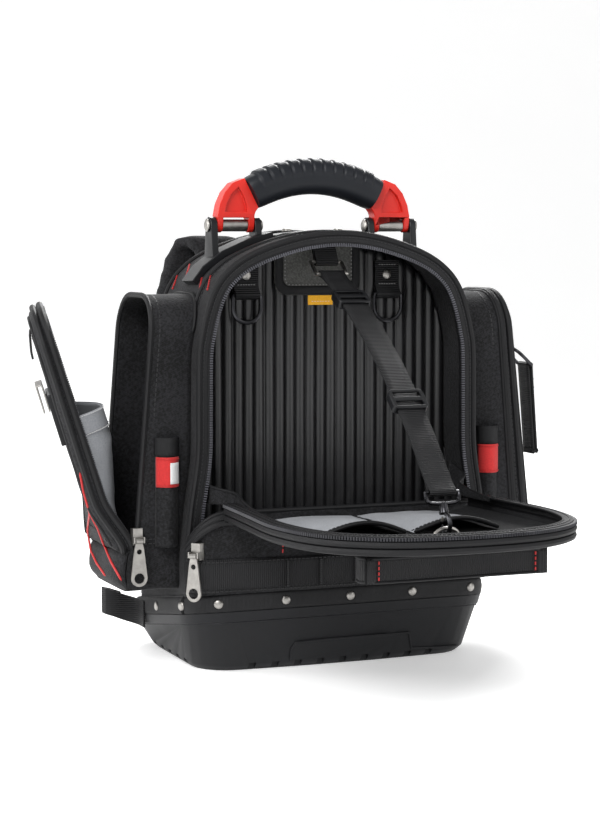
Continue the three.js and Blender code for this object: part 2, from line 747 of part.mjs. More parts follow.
// The flap's half width at a place between its root and its widest place
function flapReach(y) {
  const along = THREE.MathUtils.clamp((-y - FLAP_ROOT) / FLAP_REACH, 0, 0.5);
  const next = Math.max(1, FLAP_EDGE.findIndex((row) => row.along >= along));
  const [near, far] = [FLAP_EDGE[next - 1], FLAP_EDGE[next]];
  return FLAP_HALF_WIDTH * lerp(near.out, far.out, (along - near.along) / (far.along - near.along));
}

function makeFlap() {
  const rows = [
    { z: FLAP_BOTTOM, inset: FLAP_FLOOR_INSET },
    { z: FLAP_TOP - FLAP_EDGE_HEIGHT, inset: 3 },
    { z: FLAP_TOP - FLAP_EDGE_HEIGHT + 3, inset: 0.5 },
    { z: FLAP_TOP, inset: 0 },
  ];
  const outer = skin(rows.map(({ z, inset }) => flapLine(inset).map(([x, y]) => [x, y, z])));
  const hollow = [
    { z: FLAP_BOTTOM + CLOTH, inset: FLAP_FLOOR_INSET + CLOTH },
    { z: FLAP_TOP - FLAP_EDGE_HEIGHT + CLOTH, inset: 3 + CLOTH },
    { z: FLAP_TOP + 1, inset: CLOTH },
  ];
  const past = (y) => (y > -FLAP_ROOT - 1 ? y + PAST : y);
  const inner = skin(hollow.map(({ z, inset }) => flapLine(inset).map(([x, y]) => [x, past(y), z])));
  return cut(toSolid(outer), inner);
}

function makeFlapTape() {
  const outline = [...flapLine(-0.4), ...flapLine(FLAP_TAPE_WIDTH).reverse()];
  return slab(outline, 'z', FLAP_TOP + FIT, FLAP_TOP + FIT + ZIP_TAPE_THICKNESS);
}

// A loose pocket sheet over the flap's floor, open towards the tip
function makeFlapPocket(side) {
  const floor = FLAP_BOTTOM + CLOTH + FIT;
  const inner = 3;
  const sections = [
    { along: 0, rise: 0.15 },
    { along: 0.35, rise: 0.6 },
    { along: 0.75, rise: 0.95 },
    { along: 1, rise: 1 },
  ];
  return skin(sections.map(({ along, rise }) => {
    const y = -FLAP_ROOT - 8 - along * FLAP_POCKET_LENGTH;
    const top = range(9, (i) => {
      const share = i / 8;
      const lift = Math.sin(Math.PI * share) * FLAP_POCKET_RISE * rise;
      return [side * (inner + share * FLAP_POCKET_WIDTH), lift];
    });
    const upper = top.map(([x, z]) => [x, y, floor + z + THIN_CLOTH]);
    const lower = top.map(([x, z]) => [x, y, floor + z]).reverse();
    return [...upper, ...lower];
  }));
}

// Grab belt below the flap, near its tip, its ends turned back
function makeFlapBelt() {
  const front = -FLAP_ROOT - FLAP_REACH + FLAP_BELT_SET_BACK;
  const corner = FLAP_BELT_RETURN / 2;
  const right = [
    ...arc(FLAP_BELT_HALF_WIDTH, front + corner, corner, -90, 0, 4),
    [FLAP_BELT_HALF_WIDTH + corner * 0.8, front + FLAP_BELT_RETURN],
  ];
  const plan = [...right.slice().reverse().map(([x, y]) => [-x, y]), ...right];
  const back = offsetOutline(plan, -WEB);
  const top = FLAP_BOTTOM - FIT;
  return skin(plan.map(([x, y], i) => {
    const [bx, by] = back[i];
    const bottom = top - FLAP_BELT_HEIGHT;
    return [[x, y, bottom], [x, y, top], [bx, by, top], [bx, by, bottom]];
  }));
}

// Cloth wing that keeps the flap from falling past level: from inside the bay out along the flap's tape
function makeWing(side) {
  const low = FLAP_TOP - 1;
  return skin(range(13, (i) => {
    const share = i / 12;
    const y = -lerp(WING_ROOT, WING_TIP, share);
    const high = low + 3 + WING_RISE * (1 - share) ** 1.6;
    const inBay = archReach(low + WING_RISE) - ZIP_TAPE_WIDTH;
    const onFlap = flapReach(y) - FLAP_TAPE_WIDTH;
    const out = lerp(inBay, onFlap, THREE.MathUtils.smoothstep(-y, SHELL_FRONT, FLAP_ROOT)) - 4 * FIT;
    const inner = out - THIN_CLOTH;
    return [[out, low], [out, high], [inner, high], [inner, low]].map(([x, z]) => [side * x, y, z]);
  }));
}

// The crown's height at a place across it
function archCrown(x) {
  const rows = ARCH.map(({ out, up }) => ({ x: out * ARCH_HALF_WIDTH, z: up * ARCH_TOP }));
  const outer = rows.findLastIndex((row) => row.x >= Math.abs(x));
  const [a, b] = [rows[outer], rows[Math.min(outer + 1, rows.length - 1)]];
  return b === a ? a.z : lerp(a.z, b.z, (a.x - Math.abs(x)) / (a.x - b.x));
}

// The crown's line between two places across it, from the right one to the left one
const crownLine = (from, to) => [
  [from, archCrown(from)],
  ...archLine(0, ARCH_TOP / 2).filter(([x]) => x < from && x > to),
  [to, archCrown(to)],
];

// Handle: brackets on the shoulders, pins, arms and the grip between them

const ARM_HALF = ARM_GAP / 2 + ARM_EAR;
const EAR_ROUND = 8;
const EAR_ROOM = 9.5;
const SIDE_X = (u, side) => side * (ARM_CENTRE + u);
const yProfile = (outline) => outline.map(([y, z]) => [PIN_Y + y, z]);

// A hole along X at the pin, big enough for the shaft, through the ears of an arm and its bracket
const PIN_HOLE_LENGTH = 2 * (ARM_HALF + FIT + BRACKET_EAR + PAST);
const pinHole = (side) => new THREE.CylinderGeometry(
  SHAFT_RADIUS + HOLE_CLEARANCE, SHAFT_RADIUS + HOLE_CLEARANCE, PIN_HOLE_LENGTH, 10,
).rotateZ(Math.PI / 2).translate(side * ARM_CENTRE, PIN_Y, PIN_Z);

function makeBracket(side) {
  const earInner = ARM_HALF + FIT;
  const earOuter = earInner + BRACKET_EAR;
  const top = PIN_Z + EAR_ROUND;
  const arch = crownLine(BRACKET_FOOT, BRACKET_INNER_FOOT);
  const saddle = offsetOutline(arch, FIT);
  const over = offsetOutline(arch, FIT + BRACKET_THICKNESS).reverse();
  const foot = [...saddle, ...over].map(([x, z]) => [side * x, z]);
  const base = slab(foot, 'y', PIN_Y - BRACKET_DEPTH / 2, PIN_Y + BRACKET_DEPTH / 2);
  const profile = yProfile([
    [-BRACKET_DEPTH / 2, POCKET_TOP], ...arc(0, PIN_Z, EAR_ROUND, 180, 0, 6), [BRACKET_DEPTH / 2, POCKET_TOP],
  ]);
  const ears = [-1, 1].map((end) => (
    slab(profile, 'x', SIDE_X(end * earInner, side), SIDE_X(end * earOuter, side))
  ));
  const crown = archLine(0).filter(([x]) => x >= 0);
  const under = [...offsetOutline(crown, FIT), [0, 0], [ARCH_HALF_WIDTH + PAST, 0]];
  const shell = slab(under.map(([x, z]) => [side * x, z]), 'y', PIN_Y - BRACKET_DEPTH, PIN_Y + BRACKET_DEPTH);
  const trimmed = ears.map((ear) => cut(toSolid(ear), shell));
  const whole = trimmed.reduce((sum, ear) => sum.add(ear), toSolid(base));
  const room = box(
    ...[SIDE_X(-earInner, side), SIDE_X(earInner, side)].sort((a, b) => a - b),
    PIN_Y - BRACKET_DEPTH, PIN_Y + BRACKET_DEPTH, PIN_Z - EAR_ROOM, top + PAST,
  );
  return cut(whole, room, pinHole(side));
}

function makePin(side) {
  const outer = ARM_HALF + FIT + BRACKET_EAR + FIT;
  const half = [
    [outer + CAP_LENGTH, 0], [outer + CAP_LENGTH, CAP_RADIUS * 0.7], [outer + CAP_LENGTH * 0.6, CAP_RADIUS],
    [outer, CAP_RADIUS], [outer, SHAFT_RADIUS],
    [ARM_GAP / 2 - FIT, SHAFT_RADIUS], [ARM_GAP / 2 - FIT, PIN_RADIUS],
  ];
  const profile = [...half.map(([u, r]) => [-u, r]), ...half.slice().reverse()];
  return new THREE.LatheGeometry(profile.map(([u, r]) => new THREE.Vector2(r, u)), 10)
    .rotateZ(-Math.PI / 2).translate(SIDE_X(0, side), PIN_Y, PIN_Z);
}

// Arm in the front view, right side: an outer sweep up to the grip and a short inner edge.
// The outline as shares of its half width and of its rise from the pin to the grip's top
const ARM_OUTLINE = [
  { out: 1, up: -0.13 },
  { out: 1, up: 0.154 },
  { out: 0.89, up: 0.317 },
  { out: 0.61, up: 0.496 },
  { out: 0.19, up: 0.634 },
  { grip: 0.98 },
  { grip: -0.86 },
  { out: -1.07, up: 0.211 },
  { out: -1, up: 0.154 },
  { out: -1, up: -0.13 },
];
const ARM_RECESS = [
  { out: 0.61, up: 0.203 },
  { out: 0.52, up: 0.317 },
  { out: 0.27, up: 0.463 },
  { out: -0.14, up: 0.577 },
  { out: -0.45, up: 0.415 },
  { out: -0.59, up: 0.285 },
  { out: -0.59, up: 0.203 },
];
const RECESS_DEPTH = 4;
const GRIP_LEAN = Math.atan2(2 * GRIP_DROOP, GRIP_HALF_LENGTH);

// A place on the grip's end face in the front view, up or down it by a share of half its height
const gripEnd = (share) => [
  GRIP_HALF_LENGTH + FIT * 2 + (share * GRIP_HEIGHT * Math.sin(GRIP_LEAN)) / 2,
  GRIP_TOP - GRIP_HEIGHT / 2 - GRIP_DROOP + (share * GRIP_HEIGHT * Math.cos(GRIP_LEAN)) / 2,
];

const armPoint = ({ out, up, grip }) => (
  grip === undefined ? [ARM_CENTRE + out * ARM_HALF, PIN_Z + up * GRIP_RISE] : gripEnd(grip)
);

function makeArm(side) {
  const place = (rows) => rows.map(armPoint).map(([x, z]) => [side * x, z]);
  const front = PIN_Y - ARM_DEPTH / 2;
  const back = PIN_Y + ARM_DEPTH / 2;
  const body = slab(place(ARM_OUTLINE), 'y', front, back);
  const round = slab(yProfile([
    ...arc(0, PIN_Z, ARM_DEPTH / 2 - 1, 180, 360, 6),
    [ARM_DEPTH / 2, PIN_Z + EAR_ROUND], [ARM_DEPTH / 2, GRIP_TOP],
    [-ARM_DEPTH / 2, GRIP_TOP], [-ARM_DEPTH / 2, PIN_Z + EAR_ROUND],
  ]), 'x', SIDE_X(-2 * ARM_HALF, side), SIDE_X(2 * ARM_HALF, side));
  const fork = box(
    ...[SIDE_X(-ARM_GAP / 2, side), SIDE_X(ARM_GAP / 2, side)].sort((a, b) => a - b),
    front - 1, back + 1, PIN_Z - ARM_DEPTH, PIN_Z + PIN_RADIUS + 5 * FIT,
  );
  const recesses = [[front - 1, front + RECESS_DEPTH], [back - RECESS_DEPTH, back + 1]]
    .map(([from, to]) => slab(place(ARM_RECESS), 'y', from, to));
  return cut(toSolid(body).intersect(toSolid(round)), fork, ...recesses, pinHole(side));
}

function makeGrip() {
  const middle = GRIP_TOP - GRIP_HEIGHT / 2;
  const count = GRIP_RIBS * 2 + 6;
  const sections = range(count + 1, (i) => lerp(-1, 1, i / count));
  return skin(sections.map((share, i) => {
    const z = middle - GRIP_DROOP * share * share;
    const lean = Math.atan2(2 * GRIP_DROOP * share, GRIP_HALF_LENGTH);
    const end = 1 - 0.04 * Math.abs(share) ** 12;
    const ribbed = i > 2 && i < count - 2 && i % 2 === 1 ? GRIP_RIB_RISE : 0;
    return range(10, (k) => {
      const angle = (2 * Math.PI * (k + 0.5)) / 10;
      const upper = Math.sin(angle) > 0.2 ? ribbed : 0;
      const fullness = 0.92 + 0.08 * Math.abs(Math.sin(angle));
      const up = (GRIP_HEIGHT / 2 - GRIP_RIB_RISE + upper) * end * Math.sin(angle) * fullness;
      const out = (GRIP_DEPTH / 2) * end * Math.cos(angle);
      return [share * GRIP_HALF_LENGTH + up * Math.sin(lean), PIN_Y + out, z + up * Math.cos(lean)];
    });
  }));
}

// Thin plate along the crown, between the bracket feet
function makeTopPlate() {
  const reach = BRACKET_INNER_FOOT - 4;
  const low = offsetOutline(crownLine(reach, -reach), FIT);
  const high = offsetOutline(crownLine(reach, -reach), FIT + TOP_PLATE_THICKNESS).reverse();
  return slab([...low, ...high], 'y', PIN_Y - TOP_PLATE_DEPTH / 2, PIN_Y + TOP_PLATE_DEPTH / 2);
}

// Side pockets

const MOUTH_SLOPE = (POCKET_FOOT_REACH - POCKET_TOP_REACH) / (POCKET_TOP - DOOR_FOOT);
const mouthReach = (z) => POCKET_FOOT_REACH + (DOOR_FOOT - z) * MOUTH_SLOPE;

// The pocket seen from the side, as y and z: square feet and rounded shoulders
function pocketOutline(inset, bottom = POCKET_BOTTOM, foot = 6) {
  const front = -POCKET_FRONT + inset;
  const back = POCKET_BACK - inset;
  const low = bottom + inset;
  const high = POCKET_TOP - inset;
  const corner = Math.max(POCKET_CORNER - inset, 2);
  const small = Math.max(foot - inset, 1);
  return [
    ...arc(back - small, low + small, small, -90, 0, 2),
    ...arc(back - corner, high - corner, corner, 0, 90, 5),
    ...arc(front + corner, high - corner, corner, 90, 180, 5),
    ...arc(front + small, low + small, small, 180, 270, 2),
  ];
}

function pocketBlock(side, inset, mouth) {
  const outline = pocketOutline(inset);
  const inner = ARCH_HALF_WIDTH * 0.78;
  return skin([
    outline.map(([y, z]) => [side * inner, y, z]),
    outline.map(([y, z]) => [side * (mouthReach(z) + mouth), y, z]),
  ]);
}

// The bulge below the door's foot, as shares of its reach and height
const POUCH = [
  { out: 0, up: 0.985 },
  { out: 0.72, up: 0.7 },
  { out: 1, up: 0.5 },
  { out: 0.86, up: 0.25 },
  { out: 0.32, up: 0 },
];
const POUCH_SECTIONS = [
  { along: 0, swell: 0.35 },
  { along: 0.08, swell: 0.8 },
  { along: 0.25, swell: 1 },
  { along: 0.75, swell: 1 },
  { along: 0.92, swell: 0.8 },
  { along: 1, swell: 0.35 },
];

function pouch(side, bulge, inset) {
  const front = -POCKET_FRONT + inset;
  const back = POCKET_BACK - inset;
  const height = DOOR_FOOT - POCKET_BOTTOM;
  return skin(POUCH_SECTIONS.map(({ along, swell }) => {
    const y = lerp(front, back, along);
    const edge = POUCH.map(({ out, up }) => {
      const z = lerp(POCKET_BOTTOM + inset, POCKET_BOTTOM + height - inset, up);
      return [side * (mouthReach(z) - inset + out * bulge * swell), y, z];
    });
    const inner = side * ARCH_HALF_WIDTH * 0.95;
    return [...edge, [inner, y, POCKET_BOTTOM + inset], [inner, y, edge[0][2]]];
  }));
}

function makePocket(side, bulge) {
  const grown = (by) => skin([-SHELL_FRONT - 10, SHELL_BACK].map((y) => archRing(y, -by, 0)));
  const body = join(toSolid(pocketBlock(side, 0, 0)), pouch(side, bulge, 0)).subtract(toSolid(grown(FIT)));
  const hollow = join(toSolid(pocketBlock(side, CLOTH, 1)), pouch(side, bulge, CLOTH));
  return body.subtract(hollow.subtract(toSolid(grown(FIT + CLOTH))));
}

// A door stands in its own frame: u outward, v up along the mouth, w along Y
const DOOR_LENGTH = Math.hypot(POCKET_TOP - DOOR_FOOT, POCKET_FOOT_REACH - POCKET_TOP_REACH);

const DOOR_MIDDLE = (POCKET_BACK - POCKET_FRONT) / 2;
const doorDepth = (v, footDepth) => lerp(footDepth, DOOR_TOP_DEPTH, v / DOOR_LENGTH);

const doorOutline = (inset) => pocketOutline(inset, DOOR_FOOT)
  .map(([y, z]) => [y, ((z - DOOR_FOOT) * DOOR_LENGTH) / (POCKET_TOP - DOOR_FOOT)]);

const onSide = (side, [u, w, v]) => [side * u, w, v];

function doorRings(side, footDepth, rows) {
  return rows.map(({ share, less, inset }) => doorOutline(inset).map(([w, v]) => (
    [side * (doorDepth(v, footDepth) * share - less), w, v]
  )));
}

function makeDoor(side, footDepth) {
  const outer = doorRings(side, footDepth, [
    { share: 0, less: 0, inset: 0 },
    { share: 0.55, less: 0, inset: 0.5 },
    { share: 0.85, less: 0, inset: 4 },
    { share: 1, less: 0, inset: 12 },
  ]);
  const inner = doorRings(side, footDepth, [
    { share: 0, less: 1, inset: CLOTH },
    { share: 0.55, less: CLOTH, inset: CLOTH + 0.5 },
    { share: 0.85, less: CLOTH, inset: CLOTH + 4 },
    { share: 1, less: CLOTH, inset: CLOTH + 12 },
  ]);
  return cut(toSolid(skin(outer)), skin(inner));
}

function doorFrame(side, lean) {
  const frame = new THREE.Group();
  frame.position.set(side * (POCKET_FOOT_REACH + FIT), 0, DOOR_FOOT);
  frame.rotation.y = side * lean;
  backpack.add(frame);
  return frame;
}

const CLOSED_LEAN = -Math.atan(MOUTH_SLOPE);

// The open left door is loose cloth: it turns about its own length near its foot, and no more above
const twistAt = (v) => radians(LEFT_DOOR_TWIST) * THREE.MathUtils.smoothstep(v, 0, TWIST_END);

function twistPoint([u, w, v]) {
  const turn = twistAt(v);
  const off = w - DOOR_MIDDLE;
  const across = DOOR_MIDDLE + off * Math.cos(turn) + u * Math.sin(turn);
  return [u * Math.cos(turn) - off * Math.sin(turn), across, v];
}

// Cuts the faces that cross a height in two, so that a bend can end there
function splitAt(geometry, height) {
  const place = geometry.toNonIndexed().getAttribute('position');
  const points = [];
  const crossing = (p, q) => {
    const [low, high] = p.z < q.z ? [p, q] : [q, p];
    return low.clone().lerp(high, (height - low.z) / (high.z - low.z)).setZ(height);
  };
  for (let i = 0; i < place.count; i += 3) {
    const corners = [0, 1, 2].map((j) => new THREE.Vector3().fromBufferAttribute(place, i + j));
    const above = corners.map(({ z }) => z > height);
    const lone = [0, 1, 2].find((j) => above[j] !== above[(j + 1) % 3] && above[j] !== above[(j + 2) % 3]);
    if (lone === undefined) {
      points.push(...corners);
    } else {
      const [a, b, c] = [0, 1, 2].map((j) => corners[(lone + j) % 3]);
      const [ab, ac] = [crossing(a, b), crossing(a, c)];
      points.push(a, ab, ac, ab, b, c, ab, c, ac);
    }
  }
  return mergeVertices(new THREE.BufferGeometry().setFromPoints(points), 1e-4);
}

function makeOpenDoor(side, footDepth) {
  const geometry = splitAt(fromSolid(makeDoor(side, footDepth)), TWIST_END);
  const place = geometry.getAttribute('position');
  for (let i = 0; i < place.count; i += 1) {
    const [x, y, z] = onSide(side, twistPoint([side * place.getX(i), place.getY(i), place.getZ(i)]));
    place.setXYZ(i, x, y, z);
  }
  return geometry;
}

function makeDoorPocket(side) {
  const rows = [
    { up: 0.06, swell: 0.05 },
    { up: 0.35, swell: 0.45 },
    { up: 0.7, swell: 0.85 },
    { up: 1, swell: 1 },
  ];
  const edge = CLOTH + 3 * FIT;
  return skin(rows.map(({ up, swell }) => {
    const v = DOOR_POCKET_HEIGHT * up;
    const line = range(9, (i) => {
      const share = i / 8;
      const w = lerp(-POCKET_FRONT + edge, POCKET_BACK - edge, share);
      return [w, 3 - Math.sin(Math.PI * share) * (DOOR_POCKET_BULGE * swell + 2)];
    });
    const near = line.map(([w, u]) => onSide(side, twistPoint([u, w, v])));
    const far = line.map(([w, u]) => onSide(side, twistPoint([u + THIN_CLOTH, w, v]))).reverse();
    return [...near, ...far];
  }));
}

// A tool sleeve on the pocket's front face: a half round tube open at both ends
const SLEEVE_X = ARCH_HALF_WIDTH + SLEEVE_FROM_SHELL + THIN_CLOTH + SLEEVE_WIDTH / 2;

function makeSleeve(side) {
  const back = -POCKET_FRONT - FIT;
  const bow = (grow) => range(8, (i) => {
    const share = i / 7;
    return [
      side * (SLEEVE_X + (share - 0.5) * (SLEEVE_WIDTH + 2 * grow)),
      back - Math.sin(Math.PI * share) ** 0.7 * (SLEEVE_RISE + grow),
    ];
  });
  const outline = [...bow(THIN_CLOTH), ...bow(0).reverse()];
  return slab(outline, 'z', SLEEVE_BOTTOM, SLEEVE_TOP);
}

// Clip plate on the left door's outer face, and the steel clip standing off it

// A plate against the door's leaning outer face, from one height to another, about the door's middle
function onDoor(side, footDepth, foot, height, width, near, far) {
  const w0 = -width / 2;
  const w1 = width / 2;
  return skin([foot, foot + height].map((v) => {
    const face = doorDepth(v, footDepth);
    return [[side * (face + near), w0, v], [side * (face + far), w0, v],
      [side * (face + far), w1, v], [side * (face + near), w1, v]];
  }));
}

const makeClipPlate = (side) => onDoor(
  side, LEFT_DOOR_DEPTH, CLIP_PLATE_FOOT, CLIP_PLATE_HEIGHT, CLIP_PLATE_WIDTH,
  FIT, FIT + CLIP_PLATE_THICKNESS,
);

function makeTapeClip(side) {
  const foot = CLIP_PLATE_FOOT + CLIP_PLATE_HEIGHT - CLIP_HEIGHT + CLIP_ABOVE_PLATE;
  const face = FIT + CLIP_PLATE_THICKNESS + FIT;
  const out = face + CLIP_STAND_OFF;
  const back = onDoor(side, LEFT_DOOR_DEPTH, foot, CLIP_HEIGHT, CLIP_WIDTH, face, face + CLIP_THICKNESS);
  const lip = onDoor(side, LEFT_DOOR_DEPTH, foot, CLIP_HEIGHT, CLIP_WIDTH, out, out + CLIP_THICKNESS);
  const bridge = onDoor(
    side, LEFT_DOOR_DEPTH, foot + CLIP_HEIGHT - CLIP_THICKNESS, CLIP_THICKNESS, CLIP_WIDTH,
    face + 0.2, out + 1,
  );
  return join(toSolid(back), lip, bridge);
}

// A short web loop high on the left door's outer face
function makeDoorTab(side) {
  const top = DOOR_LENGTH - 17;
  const face = (v) => doorDepth(v, LEFT_DOOR_DEPTH) + FIT;
  const drop = top - DOOR_TAB_HEIGHT;
  const path = [
    [side * (face(top) + WEB / 2), 0, top],
    [side * (face(top) + 3), 0, top - 5],
    [side * (face(drop) + 6), 0, drop + 6],
    [side * (face(drop) + 6.5), 0, drop],
  ];
  return strap(path, DOOR_TAB_WIDTH, WEB, new THREE.Vector3(0, 1, 0));
}

// Ring tab, ring and hanging strap on the right door, forward of its middle, in the door's frame
const HANG_FACE = doorDepth(HANG_TAB_UP, RIGHT_DOOR_DEPTH) + FIT;
const HANG_HOLE = RING_WIRE + 1.3;
const HANG_EYE = HANG_FACE + WEB + HANG_HOLE;
const HANG_TAB_WIDTH = 10;
const HANG_PLACE = DOOR_MIDDLE - HANG_FORWARD;

function makeHangTab() {
  const eye = HANG_HOLE;
  const outline = [
    [HANG_FACE, HANG_TAB_UP + 16], [HANG_FACE, HANG_TAB_UP - 4],
    ...arc(HANG_EYE, HANG_TAB_UP, eye + WEB - 0.4, 225, 405, 5),
    [HANG_FACE + WEB, HANG_TAB_UP + 8], [HANG_FACE + WEB, HANG_TAB_UP + 16],
  ];
  const body = slab(outline, 'y', HANG_PLACE - HANG_TAB_WIDTH / 2, HANG_PLACE + HANG_TAB_WIDTH / 2);
  const eyeOutline = arc(HANG_EYE, HANG_TAB_UP, eye, 0, 315, 7);
  const hole = slab(eyeOutline, 'y', HANG_PLACE - HANG_WIDTH, HANG_PLACE + HANG_WIDTH);
  return cut(toSolid(body), hole);
}

function makeHangRing() {
  const lean = radians(HANG_RING_LEAN);
  const path = ringPath(RING_WIDTH, RING_DROP).map(([u, v]) => [u, -RING_DROP - v])
    .map(([u, v]) => [HANG_EYE - v * Math.sin(lean), HANG_PLACE + u, HANG_TAB_UP + v * Math.cos(lean)]);
  return wire(path, RING_WIRE, new THREE.Vector3(Math.cos(lean), 0, Math.sin(lean)), true);
}

// The strap hangs from the ring's bar: down, round and up again
function makeHangStrap() {
  const lean = radians(HANG_RING_LEAN);
  const x = HANG_EYE + RING_DROP * Math.sin(lean);
  const z = HANG_TAB_UP - RING_DROP * Math.cos(lean);
  const eye = RING_WIRE + 0.6;
  const round = eye + WEB;
  const loop = round * 0.8;
  const outline = [
    ...arc(x, z, round, 0, 180, 6),
    [x - round * 0.8, z - 8],
    ...arc(x, z - HANG_LENGTH + loop, loop, 180, 360, 6),
    [x + round * 0.8, z - 8],
  ];
  const width = HANG_WIDTH - 4;
  const body = slab(outline, 'y', HANG_PLACE - width / 2, HANG_PLACE + width / 2);
  const hole = slab(
    [...arc(x, z, eye, 0, 180, 6), [x - eye, z - 4], [x + eye, z - 4]],
    'y', HANG_PLACE - HANG_WIDTH, HANG_PLACE + HANG_WIDTH,
  );
  const half = loop - WEB;
  const slit = slab(
    [[x + half, z - 14], [x - half, z - 14], ...arc(x, z - HANG_LENGTH + loop, half, 180, 360, 4)],
    'y', HANG_PLACE - HANG_WIDTH, HANG_PLACE + HANG_WIDTH,
  );
  return cut(toSolid(body), hole, slit);
}

// Stay strap, in the plane X = 0, from the ceiling of the bay down to the flap

// A place along the strap's gently bowed line, its share of the length from the top
function stayPoint(share, lift = 0) {
  const dy = STAY_FOOT_Y - STAY_TOP_Y;
  const dz = STAY_FOOT_Z - STAY_TOP_Z;
  const length = Math.hypot(dy, dz);
  const rise = lift + STAY_BOW * 4 * share * (1 - share);
  return [STAY_TOP_Y + dy * share + (rise * dz) / length, STAY_TOP_Z + dz * share - (rise * dy) / length];
}

const BAR_EYE = BAR_RADIUS + 0.5;

function makeStayStrap() {
  const half = STAY_THICKNESS / 2;
  const steps = range(13, (i) => lerp(0.02, 0.98, i / 12));
  const slope = (Math.atan2(STAY_TOP_Z - STAY_FOOT_Z, STAY_TOP_Y - STAY_FOOT_Y) * 180) / Math.PI;
  const end = BAR_EYE + WEB * 0.8;
  const outline = [
    ...arc(STAY_TOP_Y, STAY_TOP_Z, end, slope - 90, slope + 90, 6),
    ...steps.map((share) => stayPoint(share, half)),
    ...arc(STAY_FOOT_Y, STAY_FOOT_Z, end, slope + 90, slope + 270, 6),
    ...steps.slice().reverse().map((share) => stayPoint(share, -half)),
  ];
  const holes = [[STAY_TOP_Y, STAY_TOP_Z], [STAY_FOOT_Y, STAY_FOOT_Z]]
    .map(([y, z]) => slab(arc(y, z, BAR_EYE, 0, 315, 7), 'x', -STAY_WIDTH, STAY_WIDTH));
  return cut(toSolid(slab(outline, 'x', -STAY_WIDTH / 2, STAY_WIDTH / 2)), ...holes);
}

// The web that holds the strap's ring, sewn under the shell's crown
function makeStayAnchor() {
  const y = STAY_ANCHOR_Y;
  const z = STAY_ANCHOR_Z;
  const ceiling = ARCH_TOP - CLOTH - 4 * FIT;
  const end = BAR_EYE + WEB * 0.8;
  const outline = [
    [y + 13, ceiling], [y + 9, ceiling], ...arc(y, z, end, 150, 380, 7),
    [y + 6, z + 7], [y + 13, ceiling - 6],
  ];
  const hole = slab(arc(y, z, BAR_EYE, 0, 315, 7), 'x', -STAY_WIDTH, STAY_WIDTH);
  return cut(toSolid(slab(outline, 'x', -STAY_WIDTH / 2 + 1, STAY_WIDTH / 2 - 1)), hole);
}

// A rectangular ring: one bar in the anchor's eye, the other in the strap's
function makeStayRing() {
  const half = STAY_WIDTH / 2 + BAR_RADIUS + 1.2;
  const at = (share, x) => [
    x, lerp(STAY_ANCHOR_Y, STAY_TOP_Y, share), lerp(STAY_ANCHOR_Z, STAY_TOP_Z, share),
  ];
  const normal = new THREE.Vector3(0, STAY_TOP_Z - STAY_ANCHOR_Z, STAY_ANCHOR_Y - STAY_TOP_Y).normalize();
  const path = [
    at(0, -half + 2), at(0, half - 2), at(0.12, half), at(0.88, half),
    at(1, half - 2), at(1, -half + 2), at(0.88, -half), at(0.12, -half),
  ];
  return wire(path, BAR_RADIUS, normal, true);
}

// A slider buckle that the strap runs through, open above in two slots
function makeBuckle() {
  const w = BUCKLE_WIDTH / 2;
  const l = BUCKLE_LENGTH / 2;
  const corner = 4;
  const outline = [
    ...arc(w - corner, l - corner, corner, 0, 90, 3),
    ...arc(-w + corner, l - corner, corner, 90, 180, 3),
    ...arc(-w + corner, -l + corner, corner, 180, 270, 3),
    ...arc(w - corner, -l + corner, corner, 270, 360, 3),
  ];
  const half = BUCKLE_THICKNESS / 2;
  const slot = STAY_WIDTH / 2 + 0.6;
  const channel = STAY_THICKNESS / 2 + 2 * FIT;
  const run = box(-slot, slot, -l - 1, l + 1, -channel, channel);
  const slots = [[-l + 3, -2.2], [2.2, l - 3]].map(([from, to]) => box(-slot, slot, from, to, 0, half + 1));
  return cut(toSolid(slab(outline, 'z', -half, half)), run, ...slots);
}

function placeOnStay(piece, share) {
  const [y0, z0] = stayPoint(share - 0.01);
  const [y1, z1] = stayPoint(share + 0.01);
  const [y, z] = stayPoint(share);
  piece.position.set(0, y, z);
  piece.rotation.x = Math.atan2(z0 - z1, y0 - y1);
}

// Snap hook in its own frame: v down its length, w across it in the plane of the bow
const BARREL_END = HOOK_EYE_LENGTH + HOOK_BARREL_LENGTH;
const GATE_PIVOT_V = BARREL_END + 2.6;
const GATE_PIVOT_W = 4;
const GATE_TIP_V = HOOK_REACH - HOOK_BOW_RADIUS - 3;
const GATE_TIP_W = HOOK_BOW_RADIUS - 0.4;

function hookFrame() {
  const frame = new THREE.Group();
  frame.position.set(0, STAY_FOOT_Y, STAY_FOOT_Z);
  frame.rotation.x = radians(HOOK_LEAN) - Math.PI / 2;
  backpack.add(frame);
  return frame;
}

const inHook = (w, v) => [0, w, -v];

